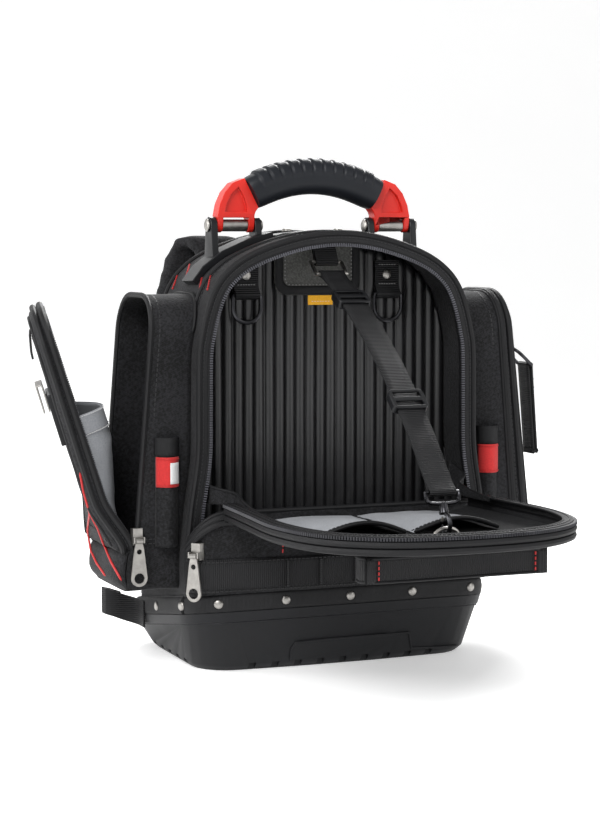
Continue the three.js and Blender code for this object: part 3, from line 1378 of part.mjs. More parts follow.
function makeHook() {
  const half = STAY_WIDTH / 2 + BAR_RADIUS + 1.2;
  const eye = wire([
    [-half + 2, 0, 0], [half - 2, 0, 0], [half, 0, -2], [half - 3, 0, -HOOK_EYE_LENGTH],
    [-half + 3, 0, -HOOK_EYE_LENGTH], [-half, 0, -2],
  ], BAR_RADIUS, new THREE.Vector3(0, 1, 0), true);
  const barrel = new THREE.CylinderGeometry(3.6, 3.6, HOOK_BARREL_LENGTH + 2, 10)
    .rotateX(Math.PI / 2).translate(0, 0, -BARREL_END + HOOK_BARREL_LENGTH / 2 + 1);
  const middle = HOOK_REACH - HOOK_BOW_RADIUS;
  const bow = arc(0, middle, HOOK_BOW_RADIUS, 180, 0, 8);
  const path = [
    inHook(0, BARREL_END - 2), inHook(-1.5, BARREL_END + 1), inHook(-HOOK_BOW_RADIUS + 1, BARREL_END + 5),
    ...bow.map(([w, v]) => inHook(w, v)), inHook(HOOK_BOW_RADIUS, middle - 1.4),
  ];
  const lug = new THREE.CylinderGeometry(1.7, 1.7, 7, 8).rotateZ(Math.PI / 2)
    .translate(0, GATE_PIVOT_W - 2.6, -BARREL_END - 0.2);
  return join(toSolid(barrel), eye, wire(path, HOOK_WIRE, new THREE.Vector3(1, 0, 0)), lug);
}

function makeGate() {
  const path = [inHook(GATE_PIVOT_W, GATE_PIVOT_V), inHook(GATE_TIP_W, GATE_TIP_V)];
  return wire(path, GATE_RADIUS, new THREE.Vector3(1, 0, 0));
}

// The flap's own ring, standing in a tab on the flap's floor, its bow inside the hook
const HOOK_CATCH = HOOK_REACH - HOOK_WIRE - BAR_RADIUS - 0.5;
const CATCH_Y = STAY_FOOT_Y - HOOK_CATCH * Math.cos(radians(HOOK_LEAN));
const CATCH_Z = STAY_FOOT_Z - HOOK_CATCH * Math.sin(radians(HOOK_LEAN));
const FLAP_FLOOR = FLAP_BOTTOM + CLOTH + FIT;
const FLAP_RING_EYE = FLAP_FLOOR + WEB + BAR_EYE - 0.4;

function makeFlapRing() {
  const half = FLAP_RING_WIDTH / 2 - BAR_RADIUS;
  const height = CATCH_Z - FLAP_RING_EYE;
  const bow = Math.min(half, height - 4);
  const path = [
    [half, CATCH_Y, FLAP_RING_EYE], [-half, CATCH_Y, FLAP_RING_EYE],
    ...range(9, (i) => {
      const angle = Math.PI * (1 - i / 8);
      return [half * Math.cos(angle), CATCH_Y, CATCH_Z - bow + bow * Math.sin(angle)];
    }),
  ];
  return wire(path, BAR_RADIUS, new THREE.Vector3(0, 1, 0), true);
}

function makeFlapRingTab() {
  const eye = BAR_EYE;
  const outline = [
    [CATCH_Y + 26, FLAP_FLOOR], [CATCH_Y + 26, FLAP_FLOOR + WEB], [CATCH_Y + 6, FLAP_FLOOR + WEB],
    ...arc(CATCH_Y, FLAP_RING_EYE, eye + WEB * 0.8, 40, 200, 5), [CATCH_Y - 4, FLAP_FLOOR],
  ];
  const half = FLAP_RING_WIDTH / 2 - BAR_RADIUS * 2 - 1.2;
  const hole = slab(arc(CATCH_Y, FLAP_RING_EYE, eye, 0, 315, 7), 'x', -FLAP_RING_WIDTH, FLAP_RING_WIDTH);
  return cut(toSolid(slab(outline, 'x', -half, half)), hole);
}

// Zip sliders and their pulls, in a frame whose origin is the pull's bar, -Y outward

const PULL_EYE = 1.6;
const KNUCKLE = PULL_EYE + 1.2;
const BAR_OUT = SLIDER_THICKNESS + KNUCKLE + FIT;

function makeSlider() {
  const w = SLIDER_WIDTH / 2;
  const top = w * 0.8;
  const outline = [
    [-w, BAR_OUT], [-top, BAR_OUT - SLIDER_THICKNESS], [top, BAR_OUT - SLIDER_THICKNESS], [w, BAR_OUT],
  ];
  const body = slab(outline, 'z', -SLIDER_BELOW_BAR, SLIDER_LENGTH - SLIDER_BELOW_BAR);
  const ears = [[-SLIDER_EAR_OUT, -SLIDER_EAR_IN], [SLIDER_EAR_IN, SLIDER_EAR_OUT]]
    .map(([from, to]) => box(from, to, -1.6, BAR_OUT - 1, -1.8, 3.5));
  const bar = new THREE.CylinderGeometry(1, 1, 9.6, 8).rotateZ(Math.PI / 2);
  return join(toSolid(body), ...ears, bar);
}

function makePull() {
  const tip = PULL_END_WIDTH / 2;
  const neck = PULL_TOP_WIDTH / 2;
  const outline = [
    [-3, -1], [-neck, -8], ...arc(0, -PULL_LENGTH + tip, tip, 180, 360, 8), [neck, -8], [3, -1],
  ];
  const plate = slab(outline, 'y', -PULL_THICKNESS / 2, PULL_THICKNESS / 2);
  const knuckle = new THREE.CylinderGeometry(KNUCKLE, KNUCKLE, 6.4, 10).rotateZ(Math.PI / 2);
  const eye = new THREE.CylinderGeometry(PULL_EYE, PULL_EYE, 12, 10).rotateZ(Math.PI / 2);
  const drill = (radius, z) => slab(arc(0, z, radius, 0, 324, 9), 'y', -5, 5);
  return cut(join(toSolid(plate), knuckle), eye, drill(tip - 2.6, -PULL_LENGTH + tip), drill(2.4, -9.5));
}

// Main slider on the rounded left corner of the apron, above its web
const MAIN_TURN = 50;
const MAIN_OUT = APRON_CORNER + BAR_OUT + FIT;
const mainSlider = {
  name: 'main',
  x: -(ARCH_HALF_WIDTH - 1 - APRON_CORNER + MAIN_OUT * Math.sin(radians(MAIN_TURN))),
  y: -(APRON_FRONT - APRON_CORNER + MAIN_OUT * Math.cos(radians(MAIN_TURN))),
  z: APRON_WEB_BOTTOM + APRON_WEB_HEIGHT + SLIDER_BELOW_BAR + FIT,
  turn: -MAIN_TURN,
};

// Pocket slider at the front foot of the left mouth
const pocketSlider = {
  name: 'pocket',
  x: -POCKET_FOOT_REACH + 1,
  y: -POCKET_FRONT - BAR_OUT - FIT,
  z: DOOR_FOOT + 9,
  turn: 0,
};

// Back of the bag

function makeBackPad() {
  const plan = (inset) => {
    const half = PAD_HALF_WIDTH - inset;
    const corner = 34;
    const low = PAD_BOTTOM + inset;
    const high = PAD_TOP - inset;
    return [
      ...arc(half - corner, low + corner, corner, -90, 0, 4),
      ...arc(half - corner, high - corner, corner, 0, 90, 4),
      ...arc(-half + corner, high - corner, corner, 90, 180, 4),
      ...arc(-half + corner, low + corner, corner, 180, 270, 4),
    ];
  };
  const rows = [
    { deep: 0, inset: 2 },
    { deep: 0.5, inset: 0 },
    { deep: 0.85, inset: 3 },
    { deep: 1, inset: 9 },
  ];
  const place = (deep) => SHELL_BACK + FIT + deep * PAD_THICKNESS;
  return skin(rows.map(({ deep, inset }) => plan(inset).map(([x, z]) => [x, place(deep), z])));
}

// Shoulder strap: padded above, a plain web below. Each place is given by shares of the shell's half width
// and height, and of the pad's thickness for the strap's clearance behind the shell.
const SHOULDER = [
  { out: 0.34, clear: 0.01, up: 0.873, width: 0.9, thick: 0.7 },
  { out: 0.35, clear: 0.33, up: 0.947, width: 0.9, thick: 0.8 },
  { out: 0.385, clear: 0.94, up: 0.987, width: 0.9, thick: 1 },
  { out: 0.43, clear: 1.7, up: 0.985, width: 0.92, thick: 1 },
  { out: 0.485, clear: 2.17, up: 0.942, width: 0.96, thick: 1 },
  { out: 0.555, clear: 2.17, up: 0.835, width: 1, thick: 1 },
  { out: 0.61, clear: 2, up: 0.684, width: 1, thick: 1 },
  { out: 0.635, clear: 1.7, up: 0.52, width: 0.94, thick: 1 },
  { out: 0.67, clear: 1.4, up: 0.405, width: 0.7, thick: 0.8 },
  { out: 0.695, clear: 1.3, up: 0.355, width: 0.42, thick: 0.5 },
  { out: 0.765, clear: 1.12, up: 0.284, width: 0.4, thick: 0.2 },
  { out: 0.82, clear: 0.85, up: 0.2, width: 0.4, thick: 0.2 },
];

// The web loop at the tub's rear corner: it leaves the rivet band, runs out and folds back.
// Shares of its reach outward, its run along the side and its rise.
const TAIL = [
  { out: 0, along: 0, rise: 0 },
  { out: 0, along: 0.35, rise: 0 },
  { out: 0.13, along: 0.52, rise: 0.1 },
  { out: 0.42, along: 0.62, rise: 0.36 },
  { out: 0.74, along: 0.62, rise: 0.73 },
  { out: 0.94, along: 0.7, rise: 0.91 },
  { out: 1, along: 0.82, rise: 1 },
  { out: 0.94, along: 0.95, rise: 0.91 },
  { out: 0.71, along: 1, rise: 0.73 },
  { out: 0.35, along: 1, rise: 0.36 },
];

function makeWebTail(side) {
  const x = TUB_RIM_HALF_WIDTH + LIP_PROUD + FIT + WEB / 2;
  const z = rimHeight(TAIL_ROOT);
  const path = TAIL.map(({ out, along, rise }) => (
    [side * (x + out * TAIL_REACH), TAIL_ROOT + along * TAIL_RUN, z + rise * TAIL_RISE]
  ));
  return strap(path, LOWER_WEB_WIDTH, WEB, new THREE.Vector3(0, 0, 1));
}

function makeShoulderStrap(side) {
  const rows = SHOULDER.map(({ out, clear, up, width, thick }) => ({
    x: out * ARCH_HALF_WIDTH,
    y: SHELL_BACK + FIT + clear * PAD_THICKNESS + (thick * SHOULDER_THICKNESS) / 2,
    z: up * ARCH_TOP,
    width: width * SHOULDER_WIDTH,
    thick: thick * SHOULDER_THICKNESS,
  }));
  rows.push({
    x: TUB_RIM_HALF_WIDTH - LOWER_WEB_WIDTH,
    y: TUB_RIM_BACK + LIP_PROUD + 2 * FIT + WEB / 2,
    z: rimHeight(TUB_RIM_BACK) + FLANGE_HEIGHT / 2,
    width: LOWER_WEB_WIDTH,
    thick: WEB,
  });
  const path = rows.map(({ x, y, z }) => [side * x, y, z]);
  return strap(path, rows.map((row) => row.width), rows.map((row) => row.thick));
}

// Assembly

addPiece('base_tub', makeTub(), 'tub_plastic');
addPiece('rivet_band', makeRivetBand(), 'webbing');
addPiece('main_shell', makeShell(), 'cordura');
addPiece('main_zip_tape', makeMainTape(), 'webbing');
addPiece('ribbed_panel', makeRibbedPanel(), 'black_plastic');
addPiece('top_patch', makePatch(), 'patch_cloth');
addPiece('patch_label', makeLabel(), 'orange_cloth');
addPiece('front_apron', makeApron(), 'cordura');
addPiece('apron_web', makeApronWeb(), 'webbing');
addPiece('flap_tray', makeFlap(), 'cordura');
addPiece('flap_zip_tape', makeFlapTape(), 'webbing');
addPiece('flap_belt', makeFlapBelt(), 'webbing');
addPiece('top_plate', makeTopPlate(), 'black_plastic');
addPiece('grip', makeGrip(), 'grip_rubber');

for (const [name, side] of [['left', -1], ['right', 1]]) {
  addPiece(`ring_tab_${name}`, makeRingTab(side * TAB_X), 'webbing');
  addPiece(`ring_${name}`, makeRing(side * TAB_X), 'black_steel');
  addPiece(`flap_pocket_${name}`, makeFlapPocket(side), 'grey_cloth');
  addPiece(`flap_wing_${name}`, makeWing(side), 'cordura');
  addPiece(`bracket_${name}`, makeBracket(side), 'black_plastic');
  addPiece(`pin_${name}`, makePin(side), 'bright_steel');
  addPiece(`arm_${name}`, makeArm(side), 'red_plastic');
  addPiece(`${name}_pocket`, makePocket(side, side < 0 ? LEFT_BULGE : RIGHT_BULGE), 'cordura');
  addPiece(`${name}_sleeve`, makeSleeve(side), 'webbing');
  addPiece(`shoulder_strap_${name}`, makeShoulderStrap(side), 'cordura');
  addPiece(`web_tail_${name}`, makeWebTail(side), 'webbing');
}

const leftDoor = doorFrame(-1, radians(LEFT_DOOR_OPEN));
addPiece('left_door', makeOpenDoor(-1, LEFT_DOOR_DEPTH), 'cordura', leftDoor);
addPiece('left_door_pocket', makeDoorPocket(-1), 'grey_cloth', leftDoor);
const doorFace = new THREE.Group();
doorFace.position.y = DOOR_MIDDLE;
doorFace.rotation.z = -twistAt(CLIP_PLATE_FOOT);
leftDoor.add(doorFace);
addPiece('clip_plate', makeClipPlate(-1), 'black_plastic', doorFace);
addPiece('tape_clip', makeTapeClip(-1), 'bright_steel', doorFace);
addPiece('door_tab', makeDoorTab(-1), 'webbing', doorFace);

const rightDoor = doorFrame(1, CLOSED_LEAN);
addPiece('right_door', makeDoor(1, RIGHT_DOOR_DEPTH), 'cordura', rightDoor);
addPiece('hang_tab', makeHangTab(), 'webbing', rightDoor);
addPiece('hang_ring', makeHangRing(), 'black_steel', rightDoor);
addPiece('hang_strap', makeHangStrap(), 'webbing', rightDoor);

addPiece('stay_anchor', makeStayAnchor(), 'webbing');
addPiece('stay_ring', makeStayRing(), 'bright_steel');
addPiece('stay_strap', makeStayStrap(), 'webbing');
placeOnStay(addPiece('stay_buckle_upper', makeBuckle(), 'black_plastic'), BUCKLE_UPPER_AT);
placeOnStay(addPiece('stay_buckle_lower', makeBuckle(), 'black_plastic'), BUCKLE_LOWER_AT);
const hook = hookFrame();
addPiece('stay_hook', makeHook(), 'black_steel', hook);
addPiece('stay_gate', makeGate(), 'bright_steel', hook);
addPiece('flap_ring', makeFlapRing(), 'bright_steel');
addPiece('flap_ring_tab', makeFlapRingTab(), 'webbing');

for (const { name, x, y, z, turn } of [mainSlider, pocketSlider]) {
  const frame = new THREE.Group();
  frame.position.set(x, y, z);
  frame.rotation.z = radians(turn);
  backpack.add(frame);
  addPiece(`${name}_slider`, makeSlider(), 'bright_steel', frame);
  addPiece(`${name}_pull`, makePull(), 'bright_steel', frame);
}

addPiece('back_pad', makeBackPad(), 'cordura');

export default backpack;
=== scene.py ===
"""Looks of an open tool backpack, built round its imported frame. Lengths in the code are millimetres."""
import math

import bmesh
import bpy
from bpy.props import FloatProperty, FloatVectorProperty, PointerProperty
from bpy.types import Operator, Panel, PropertyGroup
from mathutils import Matrix, Vector, noise
from mathutils.bvhtree import BVHTree


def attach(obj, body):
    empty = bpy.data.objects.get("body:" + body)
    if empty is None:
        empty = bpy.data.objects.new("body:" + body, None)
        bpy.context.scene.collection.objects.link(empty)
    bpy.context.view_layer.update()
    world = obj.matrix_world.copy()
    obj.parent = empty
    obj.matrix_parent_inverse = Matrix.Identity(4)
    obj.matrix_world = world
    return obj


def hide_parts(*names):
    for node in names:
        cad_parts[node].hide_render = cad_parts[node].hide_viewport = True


bl_info = {
    "name": "Tool Backpack",
    "version": (1, 0, 0),
    "blender": (4, 5, 0),
    "location": "3D View > Sidebar > Backpack",
    "description": "Builds the cloth, zips, webs and fittings of an open tool backpack",
    "category": "Object",
}

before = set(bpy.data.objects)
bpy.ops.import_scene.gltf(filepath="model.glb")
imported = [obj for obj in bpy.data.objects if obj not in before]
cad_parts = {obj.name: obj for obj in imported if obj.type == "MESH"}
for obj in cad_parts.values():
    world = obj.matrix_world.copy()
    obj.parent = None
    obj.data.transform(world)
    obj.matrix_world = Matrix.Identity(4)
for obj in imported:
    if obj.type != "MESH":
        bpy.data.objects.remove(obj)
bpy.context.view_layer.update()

MM = 0.001
BAG = "bag"
HANDLE = "handle"
SIDES = (("left", -1), ("right", 1))

# Named sizes of the frame that the looks follow
FIT = 0.3
CLOTH = 2.6
THIN_CLOTH = 1.6
WEB = 2
TUB_FLOOR_HALF_WIDTH = 137
TUB_FLOOR_FRONT = 84
TUB_FLOOR_BACK = 86
TUB_RIM_HALF_WIDTH = 148
TUB_RIM_FRONT = 99
TUB_RIM_BACK = 95
TUB_RIM_HEIGHT = 57
TUB_RIM_FALL = 0.162
TUB_CORNER = 38
TUB_BOW = 4
LIP_PROUD = 2
FLANGE_HEIGHT = 16
ARCH_HALF_WIDTH = 148
ARCH_TOP = 395
SHELL_FRONT = 79
SHELL_BACK = 88
BACK_ROUND = 40
TAPE_WIDTH = 11
PANEL_FRONT = 24
RIB_PITCH = 10.3
RIB_DEPTH = 4.5
PATCH_HALF_WIDTH = 43
PATCH_BOTTOM = 337
PATCH_TOP = 383
PATCH_CORNER = 12
TAB_X = 71
TAB_EYE_HEIGHT = 338
RING_WIDTH = 31
RING_DROP = 26
RING_WIRE = 1.6
APRON_FRONT = 101
APRON_CORNER = 24
APRON_FOLD = 147
APRON_SIDE_TOP = 110
APRON_CROWN = 30
APRON_WEB_BOTTOM = 75
APRON_WEB_HEIGHT = 30
FLAP_ROOT = APRON_FRONT + TUB_BOW + FIT
FLAP_REACH = 257
FLAP_HALF_WIDTH = 130
FLAP_TOP = 154
FLAP_DEPTH = 18
FLAP_FLOOR = FLAP_TOP - FLAP_DEPTH + CLOTH + FIT
FLAP_POCKET_WIDTH = 82
FLAP_POCKET_LENGTH = 120
FLAP_POCKET_RISE = 11
FLAP_BELT_HALF_WIDTH = 72
FLAP_BELT_HEIGHT = 21
FLAP_BELT_RETURN = 22
FLAP_BELT_SET_BACK = 37
WING_ROOT = 52
WING_TIP = 160
WING_RISE = 22
POCKET_FRONT = 60
POCKET_BACK = 41
POCKET_BOTTOM = 74
POCKET_TOP = 339
POCKET_CORNER = 34
POCKET_FOOT_CORNER = 6
POCKET_TOP_REACH = 172
POCKET_FOOT_REACH = 190
DOOR_FOOT = 112
BULGE = 17
DOOR_TOP_DEPTH = 14
LEFT_DOOR_DEPTH = 17
RIGHT_DOOR_DEPTH = 21
LEFT_DOOR_OPEN = 18
LEFT_DOOR_TWIST = 14
TWIST_END = 56
DOOR_MIDDLE = (POCKET_BACK - POCKET_FRONT) / 2
MOUTH_SLOPE = (POCKET_FOOT_REACH - POCKET_TOP_REACH) / (POCKET_TOP - DOOR_FOOT)
DOOR_LENGTH = math.hypot(POCKET_TOP - DOOR_FOOT, POCKET_FOOT_REACH - POCKET_TOP_REACH)
DOOR_POCKET_HEIGHT = 130
DOOR_POCKET_BULGE = 25
HANG_TAB_UP = 172
HANG_WEB = 21
HANG_LENGTH = 84
HANG_RING_LEAN = 42
HANG_FORWARD = 22
SLEEVE_WIDTH = 20
SLEEVE_BOTTOM = 114
SLEEVE_TOP = 212
SLEEVE_RISE = 9
SLEEVE_MIDDLE = ARCH_HALF_WIDTH + 0.8 + THIN_CLOTH + SLEEVE_WIDTH / 2
PIN_X = 78.6
PIN_Y = -14
PIN_Z = 401.5
ARM_EAR = 5.5
ARM_HALF_GAP = 12.5
BRACKET_EAR = 6.5
GRIP_TOP = 463
GRIP_HEIGHT = 33
GRIP_DEPTH = 30
GRIP_HALF_LENGTH = 62.5
GRIP_DROOP = 16
GRIP_RIBS = 11

# The camera and the photograph's frame
CAMERA_PLACE = (-0.75028, -1.8399, 0.39)
CAMERA_YAW = 22
CAMERA_PITCH = 4.82
CAMERA_FOCUS = 2100
PHOTO_HEIGHT = 830
SENSOR = 36


def lerp(a, b, t):
    return a + (b - a) * t


def smoothstep(t):
    t = min(max(t, 0), 1)
    return t * t * (3 - 2 * t)


class Line:
    """A smooth line through a few points, read by its share of the length."""

    def __init__(self, points, closed=False, smooth=True, steps=8):
        points = [Vector(p) for p in points]
        if smooth:
            points = self.rounded(points, closed, steps)
        if closed:
            points.append(points[0].copy())
        self.points = points
        self.closed = closed
        self.marks = [0.0]
        for a, b in zip(points, points[1:]):
            self.marks.append(self.marks[-1] + (b - a).length)
        self.length = self.marks[-1]

    @staticmethod
    def rounded(points, closed, steps):
        count = len(points)
        out = []
        for i in range(count if closed else count - 1):
            if closed:
                p, q, r, s = (points[(i + k) % count] for k in (-1, 0, 1, 2))
            else:
                p, q, r, s = (points[min(max(i + k, 0), count - 1)] for k in (-1, 0, 1, 2))
            for j in range(steps):
                t = j / steps
                out.append(0.5 * ((2 * q) + (r - p) * t + (2 * p - 5 * q + 4 * r - s) * t * t
                                  + (3 * q - p - 3 * r + s) * t ** 3))
        if not closed:
            out.append(points[-1].copy())
        return out

    def find(self, share):
        if self.closed:
            share = share % 1 if share != 1 else 1
        goal = min(max(share, 0), 1) * self.length
        low, high = 0, len(self.marks) - 1
        while high - low > 1:
            middle = (low + high) // 2
            if self.marks[middle] <= goal:
                low = middle
            else:
                high = middle
        span = self.marks[high] - self.marks[low]
        return low, (goal - self.marks[low]) / span if span else 0

    def at(self, share):
        low, t = self.find(share)
        return self.points[low].lerp(self.points[low + 1], t)

    def along(self, share, reach=1.5):
        step = reach / self.length
        if self.closed:
            return (self.at(share + step) - self.at(share - step)).normalized()
        return (self.at(min(share + step, 1)) - self.at(max(share - step, 0))).normalized()


def straight(points, closed=False):
    return Line(points, closed, smooth=False)


def moved(points, distance):
    """A flat outline moved along its normal, to its right."""
    out = []
    last = len(points) - 1
    for i, (u, v) in enumerate(points):
        u0, v0 = points[max(i - 1, 0)]
        u1, v1 = points[min(i + 1, last)]
        size = math.hypot(u1 - u0, v1 - v0)
        out.append((u + distance * (v1 - v0) / size, v - distance * (u1 - u0) / size))
    return out


def arc(cx, cy, radius, start, end, steps):
    turns = [math.radians(lerp(start, end, i / steps)) for i in range(steps + 1)]
    return [(cx + radius * math.cos(turn), cy + radius * math.sin(turn)) for turn in turns]


def tub_plan(share, grow):
    half = lerp(TUB_FLOOR_HALF_WIDTH, TUB_RIM_HALF_WIDTH, share) + grow
    front = lerp(TUB_FLOOR_FRONT, TUB_RIM_FRONT, share) + grow
    back = lerp(TUB_FLOOR_BACK, TUB_RIM_BACK, share) + grow
    corner = TUB_CORNER + grow
    x = half - corner
    plan = []
    for cx, cy, start in ((x, corner - front, -90), (x, back - corner, 0), (-x, back - corner, 90),
                          (-x, corner - front, 180)):
        plan += arc(cx, cy, corner, start, start + 90, 8)
    for i in range(1, 12):
        side = lerp(-1, 1, i / 12)
        plan.append((x * side, -front - TUB_BOW * (1 - side * side)))
    return plan


def rim_height(y):
    return TUB_RIM_HEIGHT - TUB_RIM_FALL * (y + TUB_RIM_FRONT)


def seat_height(y):
    return rim_height(y) + FLANGE_HEIGHT + FIT


# The arch of the shell's front view, as shares of its half width and height
ARCH = (
    (1.0, 0.185), (1.0, 0.27), (0.975, 0.37), (0.928, 0.49), (0.922, 0.6), (0.918, 0.72), (0.9, 0.77),
    (0.865, 0.825), (0.815, 0.873), (0.74, 0.91), (0.62, 0.943), (0.45, 0.97), (0.23, 0.992), (0, 1),
)


def arch_points(inset=0.0):
    right = [(out * ARCH_HALF_WIDTH, up * ARCH_TOP) for out, up in ARCH]
    both = right + [(-x, z) for x, z in reversed(right[:-1])]
    return moved(both, -inset)


def arch_line(y, inset=0.0, foot=0.0):
    """The arch at a place along Y, from the left foot over the crown to the right one."""
    line = Line([(x, y, z) for x, z in reversed(arch_points(inset))])
    return straight([p for p in line.points if p.z > foot]) if foot else line


def arch_reach(z):
    rows = [(out * ARCH_HALF_WIDTH, up * ARCH_TOP) for out, up in ARCH]
    for (x0, z0), (x1, z1) in zip(rows, rows[1:]):
        if z <= z1:
            return lerp(x0, x1, max((z - z0) / (z1 - z0), 0))
    return 0


FLAP_EDGE = (
    (0.93, 0), (0.945, 0.12), (0.97, 0.3), (1, 0.5), (0.985, 0.62), (0.94, 0.73), (0.86, 0.82),
    (0.74, 0.89), (0.58, 0.945), (0.39, 0.98), (0.2, 0.995), (0, 1),
)


def flap_line(z, inset=0.0):
    """The flap's edge, from its left root round the tip to its right root."""
    right = [(out * FLAP_HALF_WIDTH, -FLAP_ROOT - along * FLAP_REACH) for out, along in FLAP_EDGE]
    both = moved(right + [(-x, y) for x, y in reversed(right[:-1])], inset)
    return Line([(x, y, z) for x, y in reversed(both)])


def pocket_outline(inset=0.0, bottom=POCKET_BOTTOM):
    """The pocket seen from the side, as y and z, from its back foot over the top to its front foot."""
    front = -POCKET_FRONT + inset
    back = POCKET_BACK - inset
    low = bottom + inset
    high = POCKET_TOP - inset
    corner = max(POCKET_CORNER - inset, 2)
    small = max(POCKET_FOOT_CORNER - inset, 1)
    outline = []
    for y, z, radius, start, steps in ((back - small, low + small, small, -90, 4),
                                       (back - corner, high - corner, corner, 0, 8),
                                       (front + corner, high - corner, corner, 90, 8),
                                       (front + small, low + small, small, 180, 4)):
        outline += arc(y, z, radius, start, start + 90, steps)
    return outline


def mouth_reach(z):
    return POCKET_FOOT_REACH + (DOOR_FOOT - z) * MOUTH_SLOPE


def door_depth(v, foot_depth):
    return lerp(foot_depth, DOOR_TOP_DEPTH, v / DOOR_LENGTH)


def left_door(u, w, v):
    """A place on the open left door: out of its mouth plane, along Y and up its length."""
    turn = math.radians(LEFT_DOOR_TWIST) * smoothstep(v / TWIST_END)
    off = w - DOOR_MIDDLE
    x = u * math.cos(turn) - off * math.sin(turn)
    y = DOOR_MIDDLE + off * math.cos(turn) + u * math.sin(turn)
    lean = math.radians(LEFT_DOOR_OPEN)
    return Vector((-(POCKET_FOOT_REACH + FIT) - x * math.cos(lean) - v * math.sin(lean), y,
                   DOOR_FOOT - x * math.sin(lean) + v * math.cos(lean)))


def right_door(u, w, v):
    """The same on the closed right door."""
    lean = -math.atan(MOUTH_SLOPE)
    return Vector((POCKET_FOOT_REACH + FIT + u * math.cos(lean) + v * math.sin(lean), w,
                   DOOR_FOOT - u * math.sin(lean) + v * math.cos(lean)))


# The noise of loose cloth starts from this seed, so that each run gives the same shapes
CLOTH_SEED = 7


# Meshes: each is shaped in millimetres and brought to metres when it is finished

def patch(columns, rows, place, size=(1, 1), skin=None):
    """A grid laid over a surface by a function of two shares, with its UV map in metres."""
    bm = skin or bmesh.new()
    uv = bm.loops.layers.uv.get("UVMap") or bm.loops.layers.uv.new("UVMap")
    made = bmesh.ops.create_grid(bm, x_segments=columns, y_segments=rows, size=0.5, calc_uvs=False)["verts"]
    shares = {vert: (vert.co.x + 0.5, vert.co.y + 0.5) for vert in made}
    for face in {face for vert in made for face in vert.link_faces}:
        for loop in face.loops:
            u, v = shares[loop.vert]
            loop[uv].uv = (u * size[0] * MM, v * size[1] * MM)
    for vert, (u, v) in shares.items():
        vert.co = place(u, v)
    return bm


def closed_seam(bm):
    bmesh.ops.remove_doubles(bm, verts=bm.verts[:], dist=0.02)
    return bm


def facing(bm, centre, outward=True):
    """Turns an open patch so that its faces look away from a centre."""
    bm.normal_update()
    centre = Vector(centre)
    look = sum(face.normal.dot(face.calc_center_median() - centre) * face.calc_area() for face in bm.faces)
    if (look < 0) == outward:
        bmesh.ops.reverse_faces(bm, faces=bm.faces[:])
    return bm


def swayed(bm, depth, size, seed=0.0):
    """Loose cloth: moves the points by a slow noise."""
    for vert in bm.verts:
        vert.co += noise.noise_vector(vert.co / size + Vector((seed, seed, seed))) * depth
    return bm


def cloth_patch(columns, rows, place, size, centre, sway=(), closed=False, outward=True):
    """A patch that looks away from a centre and, where it is loose cloth, lies a little unevenly."""
    bm = patch(columns, rows, place, size)
    if closed:
        closed_seam(bm)
    facing(bm, centre, outward)
    return swayed(bm, *sway) if sway else bm


def frames_along(line, count, up):
    """Places along a line with two directions across it."""
    out = []
    for i in range(count + 1):
        share = i / count
        along = line.along(share)
        side = along.cross(up)
        side = side.normalized() if side.length > 1e-4 else Vector((1, 0, 0))
        out.append((line.at(share), side, side.cross(along).normalized()))
    return out


TUBE_SIDES = 8
TUBE_STEP = 2.5


def tube(line, radius, up=(0, 0, 1), skin=None):
    """A round roll along a line. Its ends are rounded in where it is open."""
    count = max(int(line.length / TUBE_STEP), 4)
    frames = frames_along(line, count, Vector(up))

    def place(u, v):
        centre, side, lift = frames[round(u * count)]
        turn = 2 * math.pi * v
        close = 1
        if not line.closed:
            away = min(u, 1 - u) * line.length / radius
            close = math.sqrt(max(1 - (1 - min(away, 1)) ** 2, 0.0004))
        return centre + (side * math.cos(turn) + lift * math.sin(turn)) * radius * close

    bm = patch(count, TUBE_SIDES, place, (line.length, 2 * math.pi * radius), skin)
    return closed_seam(bm) if skin is None else bm


def dashes(line, up, length, gap, radius, skin, slant=0.0, lift=0.0, flat=1.0):
    """A row of stitches or teeth along a line, each a small box lying along it."""
    count = max(int(line.length / (length + gap)), 1)
    up = Vector(up)
    for i in range(count):
        share = (i + 0.5) / count
        along = line.along(share)
        side = up.cross(along).normalized()
        rise = along.cross(side).normalized()
        turn = Matrix((along, side, rise)).transposed().to_4x4()
        place = Matrix.Translation(line.at(share) + rise * lift)
        size = Matrix.Diagonal((length, 2 * radius, 2 * radius * flat, 1))
        bmesh.ops.create_cube(skin, size=1, matrix=place @ turn @ Matrix.Rotation(slant, 4, "Z") @ size)
    return skin


def from_node(*names):
    """Nodes of the frame, or finished pieces, as one mesh in millimetres with its flat faces whole again."""
    bm = bmesh.new()
    for name in names:
        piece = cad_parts.get(name) or bpy.data.objects[name]
        bm.from_mesh(piece.data)
    bmesh.ops.scale(bm, vec=(1 / MM,) * 3, verts=bm.verts[:])
    bmesh.ops.remove_doubles(bm, verts=bm.verts[:], dist=0.005)
    bmesh.ops.dissolve_limit(bm, angle_limit=math.radians(1), verts=bm.verts[:], edges=bm.edges[:])
    return bm


